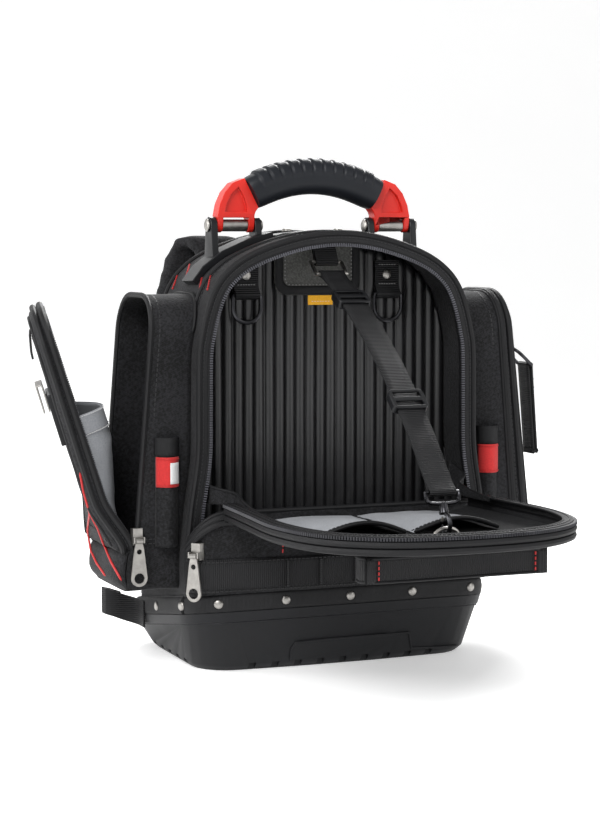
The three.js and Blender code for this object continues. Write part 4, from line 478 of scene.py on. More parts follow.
def put(bm, name, finish, body=BAG, replaces=(), slot=None, smooth=40, wall=0.0, bevel=0.0, segments=2,
        rounds=0):
    """Makes a finished piece of a mesh: metres, smooth faces, its finish, and the body that it rides on."""
    bmesh.ops.scale(bm, vec=(MM,) * 3, verts=bm.verts[:])
    mesh = bpy.data.meshes.new(name)
    bm.to_mesh(mesh)
    bm.free()
    mesh.shade_smooth()
    mesh.set_sharp_from_angle(angle=math.radians(smooth))
    piece = bpy.data.objects.new(name, mesh)
    bpy.context.scene.collection.objects.link(piece)
    mesh.materials.append(finish_named(finish))
    if wall:
        modifier = piece.modifiers.new("Wall", "SOLIDIFY")
        modifier.thickness = wall * MM
        modifier.offset = -1
        modifier.use_even_offset = False
    if bevel:
        modifier = piece.modifiers.new("Edge", "BEVEL")
        modifier.width = bevel * MM
        modifier.segments = segments
        modifier.limit_method = "ANGLE"
        modifier.angle_limit = math.radians(40)
    if rounds:
        modifier = piece.modifiers.new("Round", "SUBSURF")
        modifier.levels = modifier.render_levels = rounds
    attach(piece, body)
    slot or FINISHES[finish][0]
    if replaces:
        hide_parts(*replaces)
    return piece


def stand_in(bm, node, finish, **more):
    """The finished piece that takes the place of a node of the frame."""
    return put(bm, node + "_finish", finish, replaces=(node,), **more)


def tree_of(*names):
    """The surface of nodes of the frame or finished pieces, in millimetres, for laying things on it."""
    bm = from_node(*names)
    tree = BVHTree.FromBMesh(bm)
    bm.free()
    return tree


# Finishes

class Wire:
    """A value socket that takes part in Python expressions, each of which adds its Math node."""

    def __init__(self, finish, socket):
        self.finish = finish
        self.socket = socket

    def math(self, operation, *others):
        values = dict(enumerate((self, *others)))
        return self.finish.node("ShaderNodeMath", {"operation": operation}, values)

    def __add__(self, other):
        return self.math("ADD", other)

    def __sub__(self, other):
        return self.math("SUBTRACT", other)

    def __rsub__(self, other):
        return self.finish.node("ShaderNodeMath", {"operation": "SUBTRACT"}, {0: other, 1: self})

    def __mul__(self, other):
        return self.math("MULTIPLY", other)

    __radd__ = __add__
    __rmul__ = __mul__

    def wave(self, length):
        """A sine of a length in metres, from 0 to 1."""
        return (self * (2 * math.pi / length)).math("SINE") * 0.5 + 0.5

    def ramp(self, low, high):
        values = {"Value": self, "From Min": low, "From Max": high}
        return self.finish.node("ShaderNodeMapRange", {"interpolation_type": "SMOOTHSTEP"}, values)


class Finish:
    """The nodes of one material."""

    def __init__(self, name, roughness=0.5, metal=0.0, **sockets):
        self.material = bpy.data.materials.new(name)
        self.material.use_nodes = True
        self.tree = self.material.node_tree
        self.shader = self.tree.nodes["Principled BSDF"]
        self.shader.inputs["Roughness"].default_value = roughness
        self.shader.inputs["Metallic"].default_value = metal
        for key, value in sockets.items():
            self.shader.inputs[key.replace("_", " ")].default_value = value

    def node(self, kind, settings, values, output=0):
        node = self.tree.nodes.new(kind)
        for key, value in settings.items():
            setattr(node, key, value)
        for key, value in values.items():
            self.feed(node.inputs[key], value)
        return Wire(self, node.outputs[output])

    def feed(self, socket, value):
        if isinstance(value, Wire):
            self.tree.links.new(value.socket, socket)
        else:
            socket.default_value = value

    def place(self):
        return self.node("ShaderNodeTexCoord", {}, {}, "Object")

    def sheet(self):
        return self.node("ShaderNodeUVMap", {"uv_map": "UVMap"}, {})

    def parts(self, vector):
        split = self.tree.nodes.new("ShaderNodeSeparateXYZ")
        self.tree.links.new(vector.socket, split.inputs[0])
        return [Wire(self, split.outputs[i]) for i in range(3)]

    def noise(self, vector, size, detail=3.0):
        values = {"Vector": vector, "Scale": 1 / size, "Detail": detail}
        return self.node("ShaderNodeTexNoise", {"noise_dimensions": "3D"}, values)

    def blend(self, mask, low, high):
        node = self.tree.nodes.new("ShaderNodeMix")
        node.data_type = "RGBA"
        self.feed(node.inputs["Factor"], mask)
        for index, value in ((6, low), (7, high)):
            self.feed(node.inputs[index], (*value, 1) if isinstance(value, tuple) else value)
        return Wire(self, node.outputs[2])

    def colour(self, value):
        self.feed(self.shader.inputs["Base Color"], (*value, 1) if isinstance(value, tuple) else value)

    def rough(self, value):
        self.feed(self.shader.inputs["Roughness"], value)

    def bump(self, height, depth, strength=1.0):
        values = {"Height": height, "Distance": depth, "Strength": strength}
        self.feed(self.shader.inputs["Normal"], self.node("ShaderNodeBump", {}, values))


def tint(name):
    """A colour that the user sets, as a plain tuple."""
    return tuple(getattr(bpy.context.scene.pack_colours, name))


def shade(colour, factor):
    return tuple(min(c * factor, 1) for c in colour)


def woven(name, colour, roughness, thread, relief, contrast, gloss=(0.0025, 0.16, 0.78), **sockets):
    """Plain weave on Object coordinates, with slubs and slow changes of shade.

    The gloss is the size, the depth and the least value of the changes of roughness.
    """
    finish = Finish(name, roughness, **sockets)
    place = finish.place()
    x, y, z = finish.parts(place)
    warp = (x + y).wave(thread)
    weft = (z + (x - y) * 0.5).wave(thread)
    weave = (warp - 0.5) * (weft - 0.5) * 2 + 0.5
    slubs = finish.noise(place, thread * 1.1, 2)
    cloud = finish.noise(place, 0.05, 3)
    mask = weave * 0.12 + slubs * 0.6 + cloud * 0.28
    low = shade(colour, 1 - contrast)
    high = shade(colour, 1 + contrast)
    finish.colour(finish.blend(mask.ramp(0.36, 0.64), low, high))
    size, depth, least = gloss
    finish.rough(finish.noise(place, size, 2) * depth + least)
    finish.bump(weave * 0.25 + slubs * 0.75, relief)
    return finish


def webbed(name, colour, pitch, relief, shine):
    """Webbing: cross ribs along the piece's own length, with slanted threads across them."""
    finish = Finish(name, 0.6, Specular_IOR_Level=0.35)
    sheet = finish.sheet()
    along, across, _ = finish.parts(sheet)
    ribs = along.wave(pitch)
    threads = (across + along * 0.5).wave(pitch * 0.55)
    wear = finish.noise(finish.place(), 0.02, 3)
    mask = ribs * 0.6 + threads * 0.2 + wear * 0.2
    finish.colour(finish.blend(mask, shade(colour, 0.5), shade(colour, 1.6)))
    finish.rough(wear * 0.2 + shine)
    finish.bump(ribs * 0.75 + threads * 0.25, relief)
    return finish


def web_up(name):
    """Webbing on a node of the frame: its ribs lie level, one above the other."""
    finish = Finish(name, 0.6, Specular_IOR_Level=0.35)
    place = finish.place()
    _, _, height = finish.parts(place)
    ribs = height.wave(0.0019)
    wear = finish.noise(place, 0.02, 3)
    finish.colour(finish.blend(ribs * 0.7 + wear * 0.3, shade(tint("web"), 0.5), shade(tint("web"), 1.6)))
    finish.rough(wear * 0.2 + 0.5)
    finish.bump(ribs, 0.0005)
    return finish


def bound(name):
    """Smooth bound edges and rolls, with fine lines round them."""
    finish = Finish(name, 0.5, Specular_IOR_Level=0.28)
    place = finish.place()
    along, _, _ = finish.parts(finish.sheet())
    lines = along.wave(0.0011)
    wear = finish.noise(place, 0.015, 3)
    finish.colour(finish.blend(lines * 0.3 + wear * 0.5, shade(tint("web"), 0.6), shade(tint("web"), 1.5)))
    finish.rough(wear * 0.2 + 0.48)
    finish.bump(lines * 0.5 + wear * 0.5, 0.0002)
    return finish


def elastic_twill(name):
    """Edge elastic: light and dark twill in short slanted rows."""
    finish = Finish(name, 0.6)
    along, across, _ = finish.parts(finish.sheet())
    rows = (along + across * 0.7).wave(0.0042)
    cross = across.wave(0.0026)
    mask = (rows * cross).ramp(0.25, 0.6)
    finish.colour(finish.blend(mask, shade(tint("web"), 0.7), tint("elastic")))
    finish.bump(mask, 0.0006)
    return finish


def moulded(name, colour, roughness, grain, coat=0.0, edge=1.75):
    """Moulded plastic: fine grain, slow changes of gloss and paler worn edges."""
    finish = Finish(name, roughness, Coat_Weight=coat, Coat_Roughness=0.25, Specular_IOR_Level=0.25)
    place = finish.place()
    grit = finish.noise(place, grain, 2)
    cloud = finish.noise(place, 0.03, 4)
    edges = finish.node("ShaderNodeNewGeometry", {}, {}, "Pointiness").ramp(0.5, 0.6)
    scuff = (edges * cloud.ramp(0.35, 0.7)) * 0.6
    base = finish.blend(cloud, shade(colour, 0.88), shade(colour, 1.12))
    finish.colour(finish.blend(scuff, base, shade(colour, edge)))
    finish.rough(cloud * 0.14 + grit * 0.08 + (roughness - 0.11))
    finish.bump(grit, grain * 0.12, 0.6)
    return finish


def plated(name, colour, roughness):
    """Plated metal with fine scratches and a little tarnish."""
    finish = Finish(name, roughness, 1.0)
    place = finish.place()
    cloud = finish.noise(place, 0.006, 4)
    scratch = finish.noise(place, 0.0006, 2)
    finish.colour(finish.blend(cloud.ramp(0.3, 0.8), shade(colour, 0.72), colour))
    finish.rough(cloud * 0.22 + (roughness - 0.06))
    finish.bump(scratch, 0.00006, 0.5)
    return finish


def thread(name, colour):
    """Stitching, a little fuzzy."""
    finish = Finish(name, 0.55)
    fuzz = finish.noise(finish.place(), 0.0009, 2)
    finish.colour(finish.blend(fuzz, shade(colour, 0.75), shade(colour, 1.15)))
    finish.bump(fuzz, 0.0001)
    return finish


def make_floor(name):
    finish = Finish(name, 0.6, Emission_Color=(1, 1, 1, 1), Emission_Strength=0.38)
    cloud = finish.noise(finish.place(), 0.4, 3)
    finish.colour(finish.blend(cloud, (0.88, 0.88, 0.88), (0.92, 0.92, 0.92)))
    return finish


# Each finish: the record's slot that it belongs to, and what makes it
FINISHES = {
    "cordura": ("cordura", lambda name: woven(
        name, tint("cloth"), 0.85, 0.0019, 0.0007, 0.9, Sheen_Weight=0.04, Sheen_Roughness=0.4,
        Specular_IOR_Level=0.35)),
    "lining": ("ribbed_lining", lambda name: woven(
        name, tint("lining"), 0.6, 0.0012, 0.00012, 0.35, (0.012, 0.18, 0.26), Specular_IOR_Level=0.7)),
    "grey cloth": ("grey_cloth", lambda name: woven(
        name, tint("grey_cloth"), 0.55, 0.0009, 0.00012, 0.18, Sheen_Weight=0.05)),
    "canvas": ("patch_cloth", lambda name: woven(
        name, tint("canvas"), 0.85, 0.0016, 0.0003, 0.3, Specular_IOR_Level=0.3)),
    "label": ("orange_cloth", lambda name: woven(name, tint("label"), 0.7, 0.0008, 0.0001, 0.12)),
    "red cloth": ("red_plastic", lambda name: woven(
        name, tint("red_cloth"), 0.7, 0.001, 0.0001, 0.12, Sheen_Weight=0.1)),
    "white cloth": ("grey_cloth", lambda name: woven(name, tint("white"), 0.7, 0.0008, 0.0001, 0.08)),
    "webbing": ("webbing", lambda name: webbed(name, tint("web"), 0.0019, 0.0005, 0.5)),
    "web up": ("webbing", web_up),
    "tape": ("webbing", lambda name: webbed(name, tint("web"), 0.0012, 0.00025, 0.55)),
    "binding": ("webbing", bound),
    "elastic": ("grey_cloth", elastic_twill),
    "tub": ("tub_plastic", lambda name: moulded(name, tint("tub"), 0.5, 0.0011)),
    "black plastic": ("black_plastic", lambda name: moulded(name, tint("plastic"), 0.36, 0.0007, 0.1)),
    "rubber": ("grip_rubber", lambda name: moulded(name, tint("rubber"), 0.45, 0.0009)),
    "red plastic": ("red_plastic", lambda name: moulded(name, tint("red"), 0.34, 0.0008, 0.25, 1.5)),
    "pull metal": ("bright_steel", lambda name: plated(name, shade(tint("steel"), 0.8), 0.36)),
    "dark steel": ("black_steel", lambda name: plated(name, tint("dark_steel"), 0.25)),
    "teeth": ("black_plastic", lambda name: moulded(name, tint("teeth"), 0.35, 0.0006, 0.2)),
    # A paler copy of the teeth finish: a painted highlight on the main zip's glossy teeth
    "pale teeth": ("black_plastic", lambda name: moulded(name, shade(tint("teeth"), 2.6), 0.35, 0.0006, 0.2)),
    "red thread": ("red_plastic", lambda name: thread(name, tint("red_cloth"))),
    "dark thread": ("webbing", lambda name: thread(name, tint("dark_thread"))),
    "grey thread": ("grey_cloth", lambda name: thread(name, shade(tint("white"), 0.3))),
    "white thread": ("grey_cloth", lambda name: thread(name, tint("white"))),
}
made_finishes = {}


def finish_named(name):
    if name not in made_finishes:
        made_finishes[name] = FINISHES[name][1](name.replace(" ", "_")).material
    return made_finishes[name]


# Pieces

def through(lines):
    """Places on a surface through a row of lines, each read at the same shares of its length."""
    last = len(lines) - 1

    def place(u, v):
        low = min(int(v * last + 1e-6), last - 1)
        return lines[low].at(u).lerp(lines[low + 1].at(u), v * last - low)

    return place


def loft(lines, columns, size, centre, **more):
    return cloth_patch(columns, len(lines) - 1, through(lines), size, centre, **more)


def roll(points, radius, name, finish, up=(0, 0, 1), closed=False, smooth=True, **more):
    """A round bound edge, cord or wire as a piece of its own."""
    line = points if isinstance(points, Line) else Line(points, closed, smooth)
    bm = tube(line, radius, up)
    bmesh.ops.recalc_face_normals(bm, faces=bm.faces[:])
    return put(bm, name, finish, **more)


def row_of(lines, name, finish, up, length, gap, radius, slant=0.0, lift=0.0, flat=1.0):
    """Rows of stitches or zip teeth as one piece."""
    bm = bmesh.new()
    for line in lines:
        dashes(line, up, length, gap, radius, bm, slant, lift, flat)
    return put(bm, name, finish, smooth=20)


def lathe(profile, centre, axis, skin=None, steps=24):
    """Spins a profile of shares (along the axis, out from it) about an axis through a centre."""
    bm = skin or bmesh.new()
    axis = Vector(axis).normalized()
    side = axis.orthogonal().normalized()
    verts = [bm.verts.new(Vector(centre) + axis * along + side * out) for along, out in profile]
    edges = [bm.edges.new(pair) for pair in zip(verts, verts[1:])]
    bmesh.ops.spin(bm, geom=verts + edges, cent=centre, axis=axis, angle=2 * math.pi, steps=steps,
                   use_merge=True)
    bmesh.ops.remove_doubles(bm, verts=bm.verts[:], dist=0.001)
    bmesh.ops.recalc_face_normals(bm, faces=bm.faces[:])
    return bm


DOME = ((0, 1), (0.3, 0.97), (0.6, 0.8), (0.85, 0.5), (1, 0))


def domes(places, radius, rise, name, finish):
    """Rivet or screw heads: each place is a point and the way that it faces."""
    bm = bmesh.new()
    profile = [(-0.4 * rise, radius)] + [(rise * up, radius * out) for up, out in DOME]
    for centre, way in places:
        lathe(profile, centre, way, bm, 16)
    return put(bm, name, finish)


def hard(node, finish, bevel, body=BAG, segments=2):
    """A moulded, pressed or folded node of the frame, its edges rounded."""
    return stand_in(from_node(node), node, finish, body=body, smooth=35, bevel=bevel, segments=segments)


# Tub and its rivet band

def on_plan(plan, side, place):
    """Where a closed plan crosses a place along one side, and the way that it faces there."""
    wide = side in ("front", "back")
    sign = -1 if side in ("front", "left") else 1
    found = []
    for (x0, y0), (x1, y1) in zip(plan, plan[1:] + plan[:1]):
        start, end = (x0, x1) if wide else (y0, y1)
        if (start - place) * (end - place) <= 0 and start != end:
            share = (place - start) / (end - start)
            size = math.hypot(x1 - x0, y1 - y0)
            found.append((lerp(x0, x1, share), lerp(y0, y1, share), (y1 - y0) / size, (x0 - x1) / size))
    return max(found, key=lambda row: sign * (row[1] if wide else row[0]))


RIVET_ROWS = (("front", 5, 125), ("back", 5, 125), ("left", 3, 69), ("right", 3, 69))
# The rivet band's section: how far it stands out from the tub's plan and above its rim
BAND = ((1.6, 0.3), (2.4, 2), (2.7, 6), (2.7, 11), (2.3, 14.5), (1, 16.2), (-1, 16.4), (-2, 15.6))


def make_tub_pieces():
    hard("base_tub", "tub", 0.9)
    base = Line([(x, y, 0) for x, y in tub_plan(1, 0)], closed=True, steps=3)

    def place(u, v):
        grow, above = band.at(v).xy
        centre, along = base.at(u), base.along(u)
        out = Vector((along.y, -along.x, 0))
        point = centre + out * grow
        point.z = rim_height(point.y) + above
        return point

    band = Line([(grow, above, 0) for grow, above in BAND])
    bm = cloth_patch(220, 12, place, (base.length, 24), (0, 0, 60), closed=True)
    stand_in(bm, "rivet_band", "tape", wall=1.5)
    for name, drop in (("upper", 3.2), ("lower", 9.5)):
        share = 1 - drop / TUB_RIM_HEIGHT
        ridge = [Vector((x, y, rim_height(y) - drop)) for x, y in tub_plan(share, 0.2)]
        roll(ridge, 0.9, f"tub_ridge_{name}", "tub", closed=True, smooth=False)
    tree = tree_of("base_tub")
    roll(straight(on_face(tree, TUB_STEP, 0.2)), 1.0, "tub_step", "tub")
    seam = Line([place(i / 120, 0.86) for i in range(120)], closed=True, steps=2)
    row_of([seam], "rivet_band_stitches", "dark thread", (0, 0, 1), 3, 1.6, 0.45, lift=0.2)
    places = []
    for side, count, reach in RIVET_ROWS:
        for i in range(count):
            x, y, nx, ny = on_plan(tub_plan(1, LIP_PROUD + 0.8), side, lerp(-reach, reach, i / (count - 1)))
            places.append(((x, y, rim_height(y) + FLANGE_HEIGHT / 2), (nx, ny, 0)))
    domes(places, 4.2, 2.1, "band_rivets", "pull metal")


# Shell, its zip and the panel inside it

def arch_ring(y, inset=0):
    """The arch with its two feet brought down to the tub."""
    points = arch_points(inset)
    foot = seat_height(y)
    points[0] = (points[0][0], foot)
    points[-1] = (points[-1][0], foot)
    return Line([(x, y, z) for x, z in reversed(points)])


def make_shell_pieces():
    straight_end = SHELL_BACK - BACK_ROUND
    lines = [arch_ring(lerp(-SHELL_FRONT, straight_end, i / 24)) for i in range(25)]
    for i in range(1, 11):
        turn = math.radians(9 * i)
        lines.append(arch_ring(straight_end + BACK_ROUND * math.sin(turn), BACK_ROUND * (1 - math.cos(turn))))
    rear = lines[-1]
    for i in range(1, 7):
        narrow = 1 - i / 6
        lines.append(straight([(p.x * narrow, p.y, p.z) for p in rear.points]))
    bm = loft(lines, 180, (rear.length, 300), (0, 0, 200), sway=(0.9, 55), closed=True)
    stand_in(bm, "main_shell", "cordura", wall=CLOTH, smooth=60)
    for name, y, radius in (("rear", -46, 2.0), ("back", 46, 2.2)):
        roll(arch_line(y, -0.7, seat_height(y) + 2), radius, f"shell_piping_{name}", "binding", (0, 1, 0))
    for name, y in (("front", -51.5), ("rear", -40.5)):
        line = arch_line(y, -0.4, seat_height(y) + 6)
        row_of([line], f"shell_seam_{name}", "dark thread", (0, 1, 0), 3.2, 1.4, 0.4)


def make_zip_pieces():
    foot = 112
    front = -SHELL_FRONT - FIT
    face = [arch_line(front - lift, inset, foot) for inset, lift in
            ((0.8, 0.2), (2, 1.3), (4.5, 1.5), (7.5, 1.4), (10, 1.2), (10.8, 0.7))]
    bm = loft(face, 320, (face[0].length, TAPE_WIDTH), (0, 60, 200))
    stand_in(bm, "main_zip_tape", "tape", wall=1.0)
    roll(arch_line(front - 0.6, 0.3, 78), 2.6, "shell_front_binding", "binding", (0, 1, 0))
    depths = ((3, 0.4), (3.2, 6), (3.4, 14), (3.4, 24))
    lining = [arch_line(front + depth, inset, 80) for inset, depth in depths]
    bm = loft(lining, 200, (face[0].length, 24), (0, 0, 200), outward=False)
    put(bm, "mouth_lining", "binding", smooth=60)
    teeth = arch_line(front - 1.1, TAPE_WIDTH + 0.3, foot)
    # These teeth take the paler copy of the teeth finish, a painted highlight
    row_of([teeth], "main_zip_teeth", "pale teeth", (0, -1, 0), 1.2, 1.0, 1.5, flat=0.75)
    chain = arch_line(front - 1.5, TAPE_WIDTH - 1.8, foot)
    roll(chain, 0.7, "main_zip_chain", "binding", (0, 1, 0))
    stitch = arch_line(front - 1.9, 4.2, foot)
    row_of([stitch], "main_zip_stitches", "dark thread", (0, -1, 0), 2.4, 1.2, 0.35)
    tree = tree_of("main_zip_tape", "main_shell", "left_pocket")
    found = [on_face(tree, ends, 0.9) for ends in SHELL_RED_STITCHES]
    marks = [straight(points) for points in found if len(points) > 2]
    row_of(marks, "shell_red_stitches", "red thread", (0, -1, 0), 2.4, 0.8, 0.55)


def crown_height(x):
    """The height under the arch at a place across it."""
    rows = [(out * ARCH_HALF_WIDTH - CLOTH - 2 * FIT, up * ARCH_TOP - CLOTH - FIT) for out, up in ARCH]
    x = abs(x)
    if x >= rows[0][0]:
        return rows[0][1]
    best = rows[0][1]
    for (x0, z0), (x1, z1) in zip(rows, rows[1:]):
        if x1 <= x <= x0 and x0 != x1:
            best = max(best, lerp(z0, z1, (x0 - x) / (x0 - x1)))
    return best


def rib_depth(x):
    return RIB_DEPTH * (1 - abs(math.sin(math.pi * x / RIB_PITCH)) ** 0.45)


def make_panel_pieces():
    reach = ARCH_HALF_WIDTH - CLOTH - 1
    foot = seat_height(-PANEL_FRONT) + 1

    def place(u, v):
        x = lerp(-reach, reach, u)
        soft = noise.noise(Vector((x / 30, v * 3, 0))) * 0.7
        return Vector((x, -PANEL_FRONT + rib_depth(x) + soft, lerp(foot, crown_height(x), v)))

    bm = cloth_patch(440, 36, place, (2 * reach, 320), (0, 0, 200))
    stand_in(bm, "ribbed_panel", "lining", wall=2.5, smooth=70)
    seams = []
    ribs = int(reach / RIB_PITCH)
    groove = -PANEL_FRONT + RIB_DEPTH - 0.5
    for i in range(-ribs, ribs + 1):
        x = i * RIB_PITCH
        seams.append(straight([(x, groove, foot + 3), (x, groove, crown_height(x) - 3)]))
    row_of(seams, "panel_seams", "dark thread", (0, -1, 0), 2.6, 1.6, 0.35)
    back = -PANEL_FRONT - FIT
    hard("top_patch", "canvas", 0.6)
    roll(straight(patch_edge(1.5)), 1.6, "patch_binding", "binding", (0, 1, 0))

    def hem(u, v):
        point = straight(patch_edge(lerp(0.5, 8.5, v))).at(u)
        point.y = back - 2.8 - 0.5 * math.sin(math.pi * v)
        return point

    put(cloth_patch(80, 4, hem, (180, 8), (0, 60, 360)), "patch_hem", "tape", wall=0.5)
    row_of([straight(patch_edge(9.6))], "patch_stitches", "grey thread", (0, -1, 0), 1.1, 2.3, 0.4, lift=2.9)
    hard("patch_label", "label", 0.2)
    stitch = straight([(x, back - 1.2, PATCH_BOTTOM - 6) for x in (-6, 13)])
    row_of([stitch], "label_stitches", "white thread", (0, -1, 0), 1.4, 1.2, 0.25)
    for name, side in SIDES:
        x = side * TAB_X
        hard(f"ring_tab_{name}", "web up", 0.5)
        line = straight([(x + u, back - 4, TAB_EYE_HEIGHT + v) for u, v in ring_path()], closed=True)
        roll(line, 2.0, f"ring_{name}_finish", "dark steel", (0, 1, 0), replaces=(f"ring_{name}",))
        rivet = TAB_EYE_HEIGHT + 18
        domes([((x, back - 2.2, rivet), (0, -1, 0))], 4.6, 1.9, f"tab_rivet_{name}", "pull metal")
        marks = [straight([(x - 9, back - 2.4, z), (x + 9, back - 2.4, z)]) for z in (rivet - 9, rivet + 9)]
        row_of(marks, f"tab_stitches_{name}", "grey thread", (0, -1, 0), 1.6, 0.9, 0.4)


def patch_edge(inset):
    """The top patch's edge: down the left, round the two lower corners and up the right."""
    half = PATCH_HALF_WIDTH - inset
    bottom = PATCH_BOTTOM + inset
    top = PATCH_TOP - inset * 0.2
    corner = PATCH_CORNER - inset * 0.6
    y = -PANEL_FRONT - FIT - 1.4
    flat = [(-half, top)] + arc(-half + corner, bottom + corner, corner, 180, 270, 8)
    flat += arc(half - corner, bottom + corner, corner, 270, 360, 8) + [(half, top)]
    return [(x, y, z) for x, z in flat]


def ring_path():
    """A D-shaped ring's path: its straight side at height 0 and its bow below."""
    half = RING_WIDTH / 2 - RING_WIRE
    bow = arc(0, -(RING_DROP - half), half, 0, -180, 20)
    return arc(half - 2, -2, 2, 90, 0, 3) + bow + arc(-half + 2, -2, 2, 180, 90, 3)


# Lower front panel and the flap

def apron_line(grow):
    reach = ARCH_HALF_WIDTH - 1
    x = reach - APRON_CORNER
    right = arc(x, -APRON_FRONT + APRON_CORNER, APRON_CORNER, 0, -90, 9)
    right[0] = (right[0][0], -SHELL_FRONT - FIT)
    right += [(x * side, -APRON_FRONT - TUB_BOW * (1 - side * side)) for side in (0.8, 0.6, 0.4, 0.2, 0)]
    both = moved(right + [(-u, v) for u, v in reversed(right[:-1])], -grow)
    return Line([(u, v, 0) for u, v in reversed(both)])


def apron_top(x):
    into = min(max((ARCH_HALF_WIDTH - abs(x)) / APRON_CROWN, 0), 1)
    return lerp(APRON_SIDE_TOP, APRON_FOLD, math.sqrt(1 - (1 - into) ** 2))


def apron_face(x):
    reach = ARCH_HALF_WIDTH - 1 - APRON_CORNER
    return -APRON_FRONT - TUB_BOW * (1 - (x / reach) ** 2)


def make_apron_pieces():
    line = apron_line(0)

    def wall(u, v):
        point = line.at(u)
        point.z = lerp(seat_height(point.y), apron_top(point.x), v)
        return point

    bm = cloth_patch(180, 24, wall, (line.length, 75), (0, 0, 100), sway=(0.7, 26, 3))
    stand_in(bm, "front_apron", "cordura", wall=2.6, smooth=60)
    out = apron_line(FIT + 1.2)
    low, high = APRON_WEB_BOTTOM, APRON_WEB_BOTTOM + APRON_WEB_HEIGHT

    def web(u, v):
        point = out.at(u)
        point.z = lerp(low, high, v) + 0.5 * math.sin(point.x / 23)
        return point

    bm = cloth_patch(220, 6, web, (out.length, APRON_WEB_HEIGHT), (0, 0, 100), sway=(0.35, 14, 8))
    stand_in(bm, "apron_web", "webbing", wall=THIN_CLOTH)
    outer = apron_line(FIT + 2.2)
    rows = [straight([(p.x, p.y, z) for p in outer.points]) for z in (low + 2, high - 2)]
    row_of(rows, "apron_web_stitches", "dark thread", (0, 0, 1), 2.6, 1.4, 0.4)
    edge = straight([(p.x, p.y + 1.3, apron_top(p.x)) for p in line.points])
    roll(edge, 2.2, "apron_top_binding", "binding")
    corner = [p for p in line.points if p.x < -98]
    for name, lift in (("upper", 3.0), ("lower", -2.5)):
        way = [(p.x - 1 + 0.2 * lift, p.y - 1.5, apron_top(p.x) - 6 + lift) for p in corner]
        roll(straight(way), 3.1, f"corner_roll_{name}", "binding")
    tacks = []
    for x in (-62, -30, 4, 38, 72):
        y = apron_face(x) - FIT - 2.4
        tacks.append(straight([(x, y, low + 3.5), (x, y, high - 3)]))
    row_of(tacks, "apron_bartacks", "dark thread", (0, -1, 0), 1.4, 0.5, 1.1)
    red = []
    for x, top in ((-66, 128), (-38, 131), (92, 127)):
        y = apron_face(x) - 0.6
        red.append(straight([(x, y, high + 3), (x + 1, y, top)]))
    row_of(red, "apron_red_stitches", "red thread", (0, -1, 0), 3.4, 1.6, 0.5)


FLAP_SECTION = (
    (0.4, 154), (-0.2, 152.6), (0.6, 150), (-0.2, 147.4), (0.6, 145), (0.8, 142), (3, 140.6), (9, 139.4),
    (18, 137.6), (30, 136),
)


def make_flap_pieces():
    lines = [flap_line(z, inset) for inset, z in FLAP_SECTION]
    inner = lines[-1]
    for i in range(1, 6):
        narrow = 1 - i / 5
        sag = 0.6 * math.sin(math.pi * i / 5)
        lines.append(straight([(p.x * narrow, p.y, p.z - sag) for p in inner.points]))
    bm = loft(lines, 200, (lines[0].length, 60), (0, -230, 160), sway=(0.5, 30, 5), closed=True)
    stand_in(bm, "flap_tray", "cordura", wall=CLOTH, smooth=60)
    tape = ((-0.2, 154.4), (0.8, 155.9), (4, 156.2), (8.2, 156), (9, 155.2))
    face = [flap_line(z, inset) for inset, z in tape]
    bm = loft(face, 240, (face[0].length, 10), (0, -230, 100))
    stand_in(bm, "flap_zip_tape", "tape", wall=1.0)
    for name, z, inset, radius in (("upper", 149.3, 0.4, 3.1), ("lower", 143.2, 0.9, 3.2)):
        roll(flap_line(z, inset), radius, f"flap_roll_{name}", "binding")
    row_of([flap_line(153.9, -0.9)], "flap_zip_teeth", "teeth", (0, 0, 1), 1.3, 1.1, 1.5, slant=0.5, flat=0.9)
    row_of([flap_line(156.5, 4)], "flap_tape_stitches", "dark thread", (0, 0, 1), 2.6, 1.4, 0.35)
    roll(flap_line(155.6, 9.2), 1.1, "flap_inner_binding", "binding")
    elastic = flap_line(149, 10)

    def band(u, v):
        point = elastic.at(lerp(0.06, 0.34, u))
        return point + Vector((0, 0, lerp(-5, 5, v)))

    put(cloth_patch(80, 4, band, (120, 10), (0, -230, 150)), "flap_elastic", "elastic", wall=0.8)
    for name, side in SIDES:
        make_flap_pocket(name, side)
        make_wing(name, side)
    make_flap_belt()


def make_flap_pocket(name, side):
    width, length = FLAP_POCKET_WIDTH, FLAP_POCKET_LENGTH

    def sheet(u, v):
        rise = 0.15 + 0.85 * smoothstep(v * 1.15)
        z = FLAP_FLOOR + 1.4 + math.sin(math.pi * u) * FLAP_POCKET_RISE * rise
        y = -FLAP_ROOT - 8 - v * length - 5 * math.sin(math.pi * u) * v
        return Vector((side * (3 + u * width), y, z))

    bm = cloth_patch(40, 48, sheet, (width * 1.1, length), (side * 44, -170, 60), sway=(0.6, 16, side + 7))
    piece = stand_in(bm, f"flap_pocket_{name}", "grey cloth", wall=0.9, smooth=60)
    edge = Line([sheet(i / 24, 1) + Vector((0, 0, 0.3)) for i in range(25)])
    roll(edge, 1.9, f"flap_pocket_edge_{name}", "binding")
    hem = Line([sheet(i / 24, 0.955) + Vector((0, 0, 0.8)) for i in range(25)])
    row_of([hem], f"flap_pocket_stitches_{name}", "dark thread", (0, 0, 1), 2.4, 1.3, 0.35)


def flap_reach(y):
    along = min(max((-y - FLAP_ROOT) / FLAP_REACH, 0), 0.5)
    for (out0, a0), (out1, a1) in zip(FLAP_EDGE, FLAP_EDGE[1:]):
        if along <= a1:
            return FLAP_HALF_WIDTH * lerp(out0, out1, (along - a0) / (a1 - a0))
    return FLAP_HALF_WIDTH


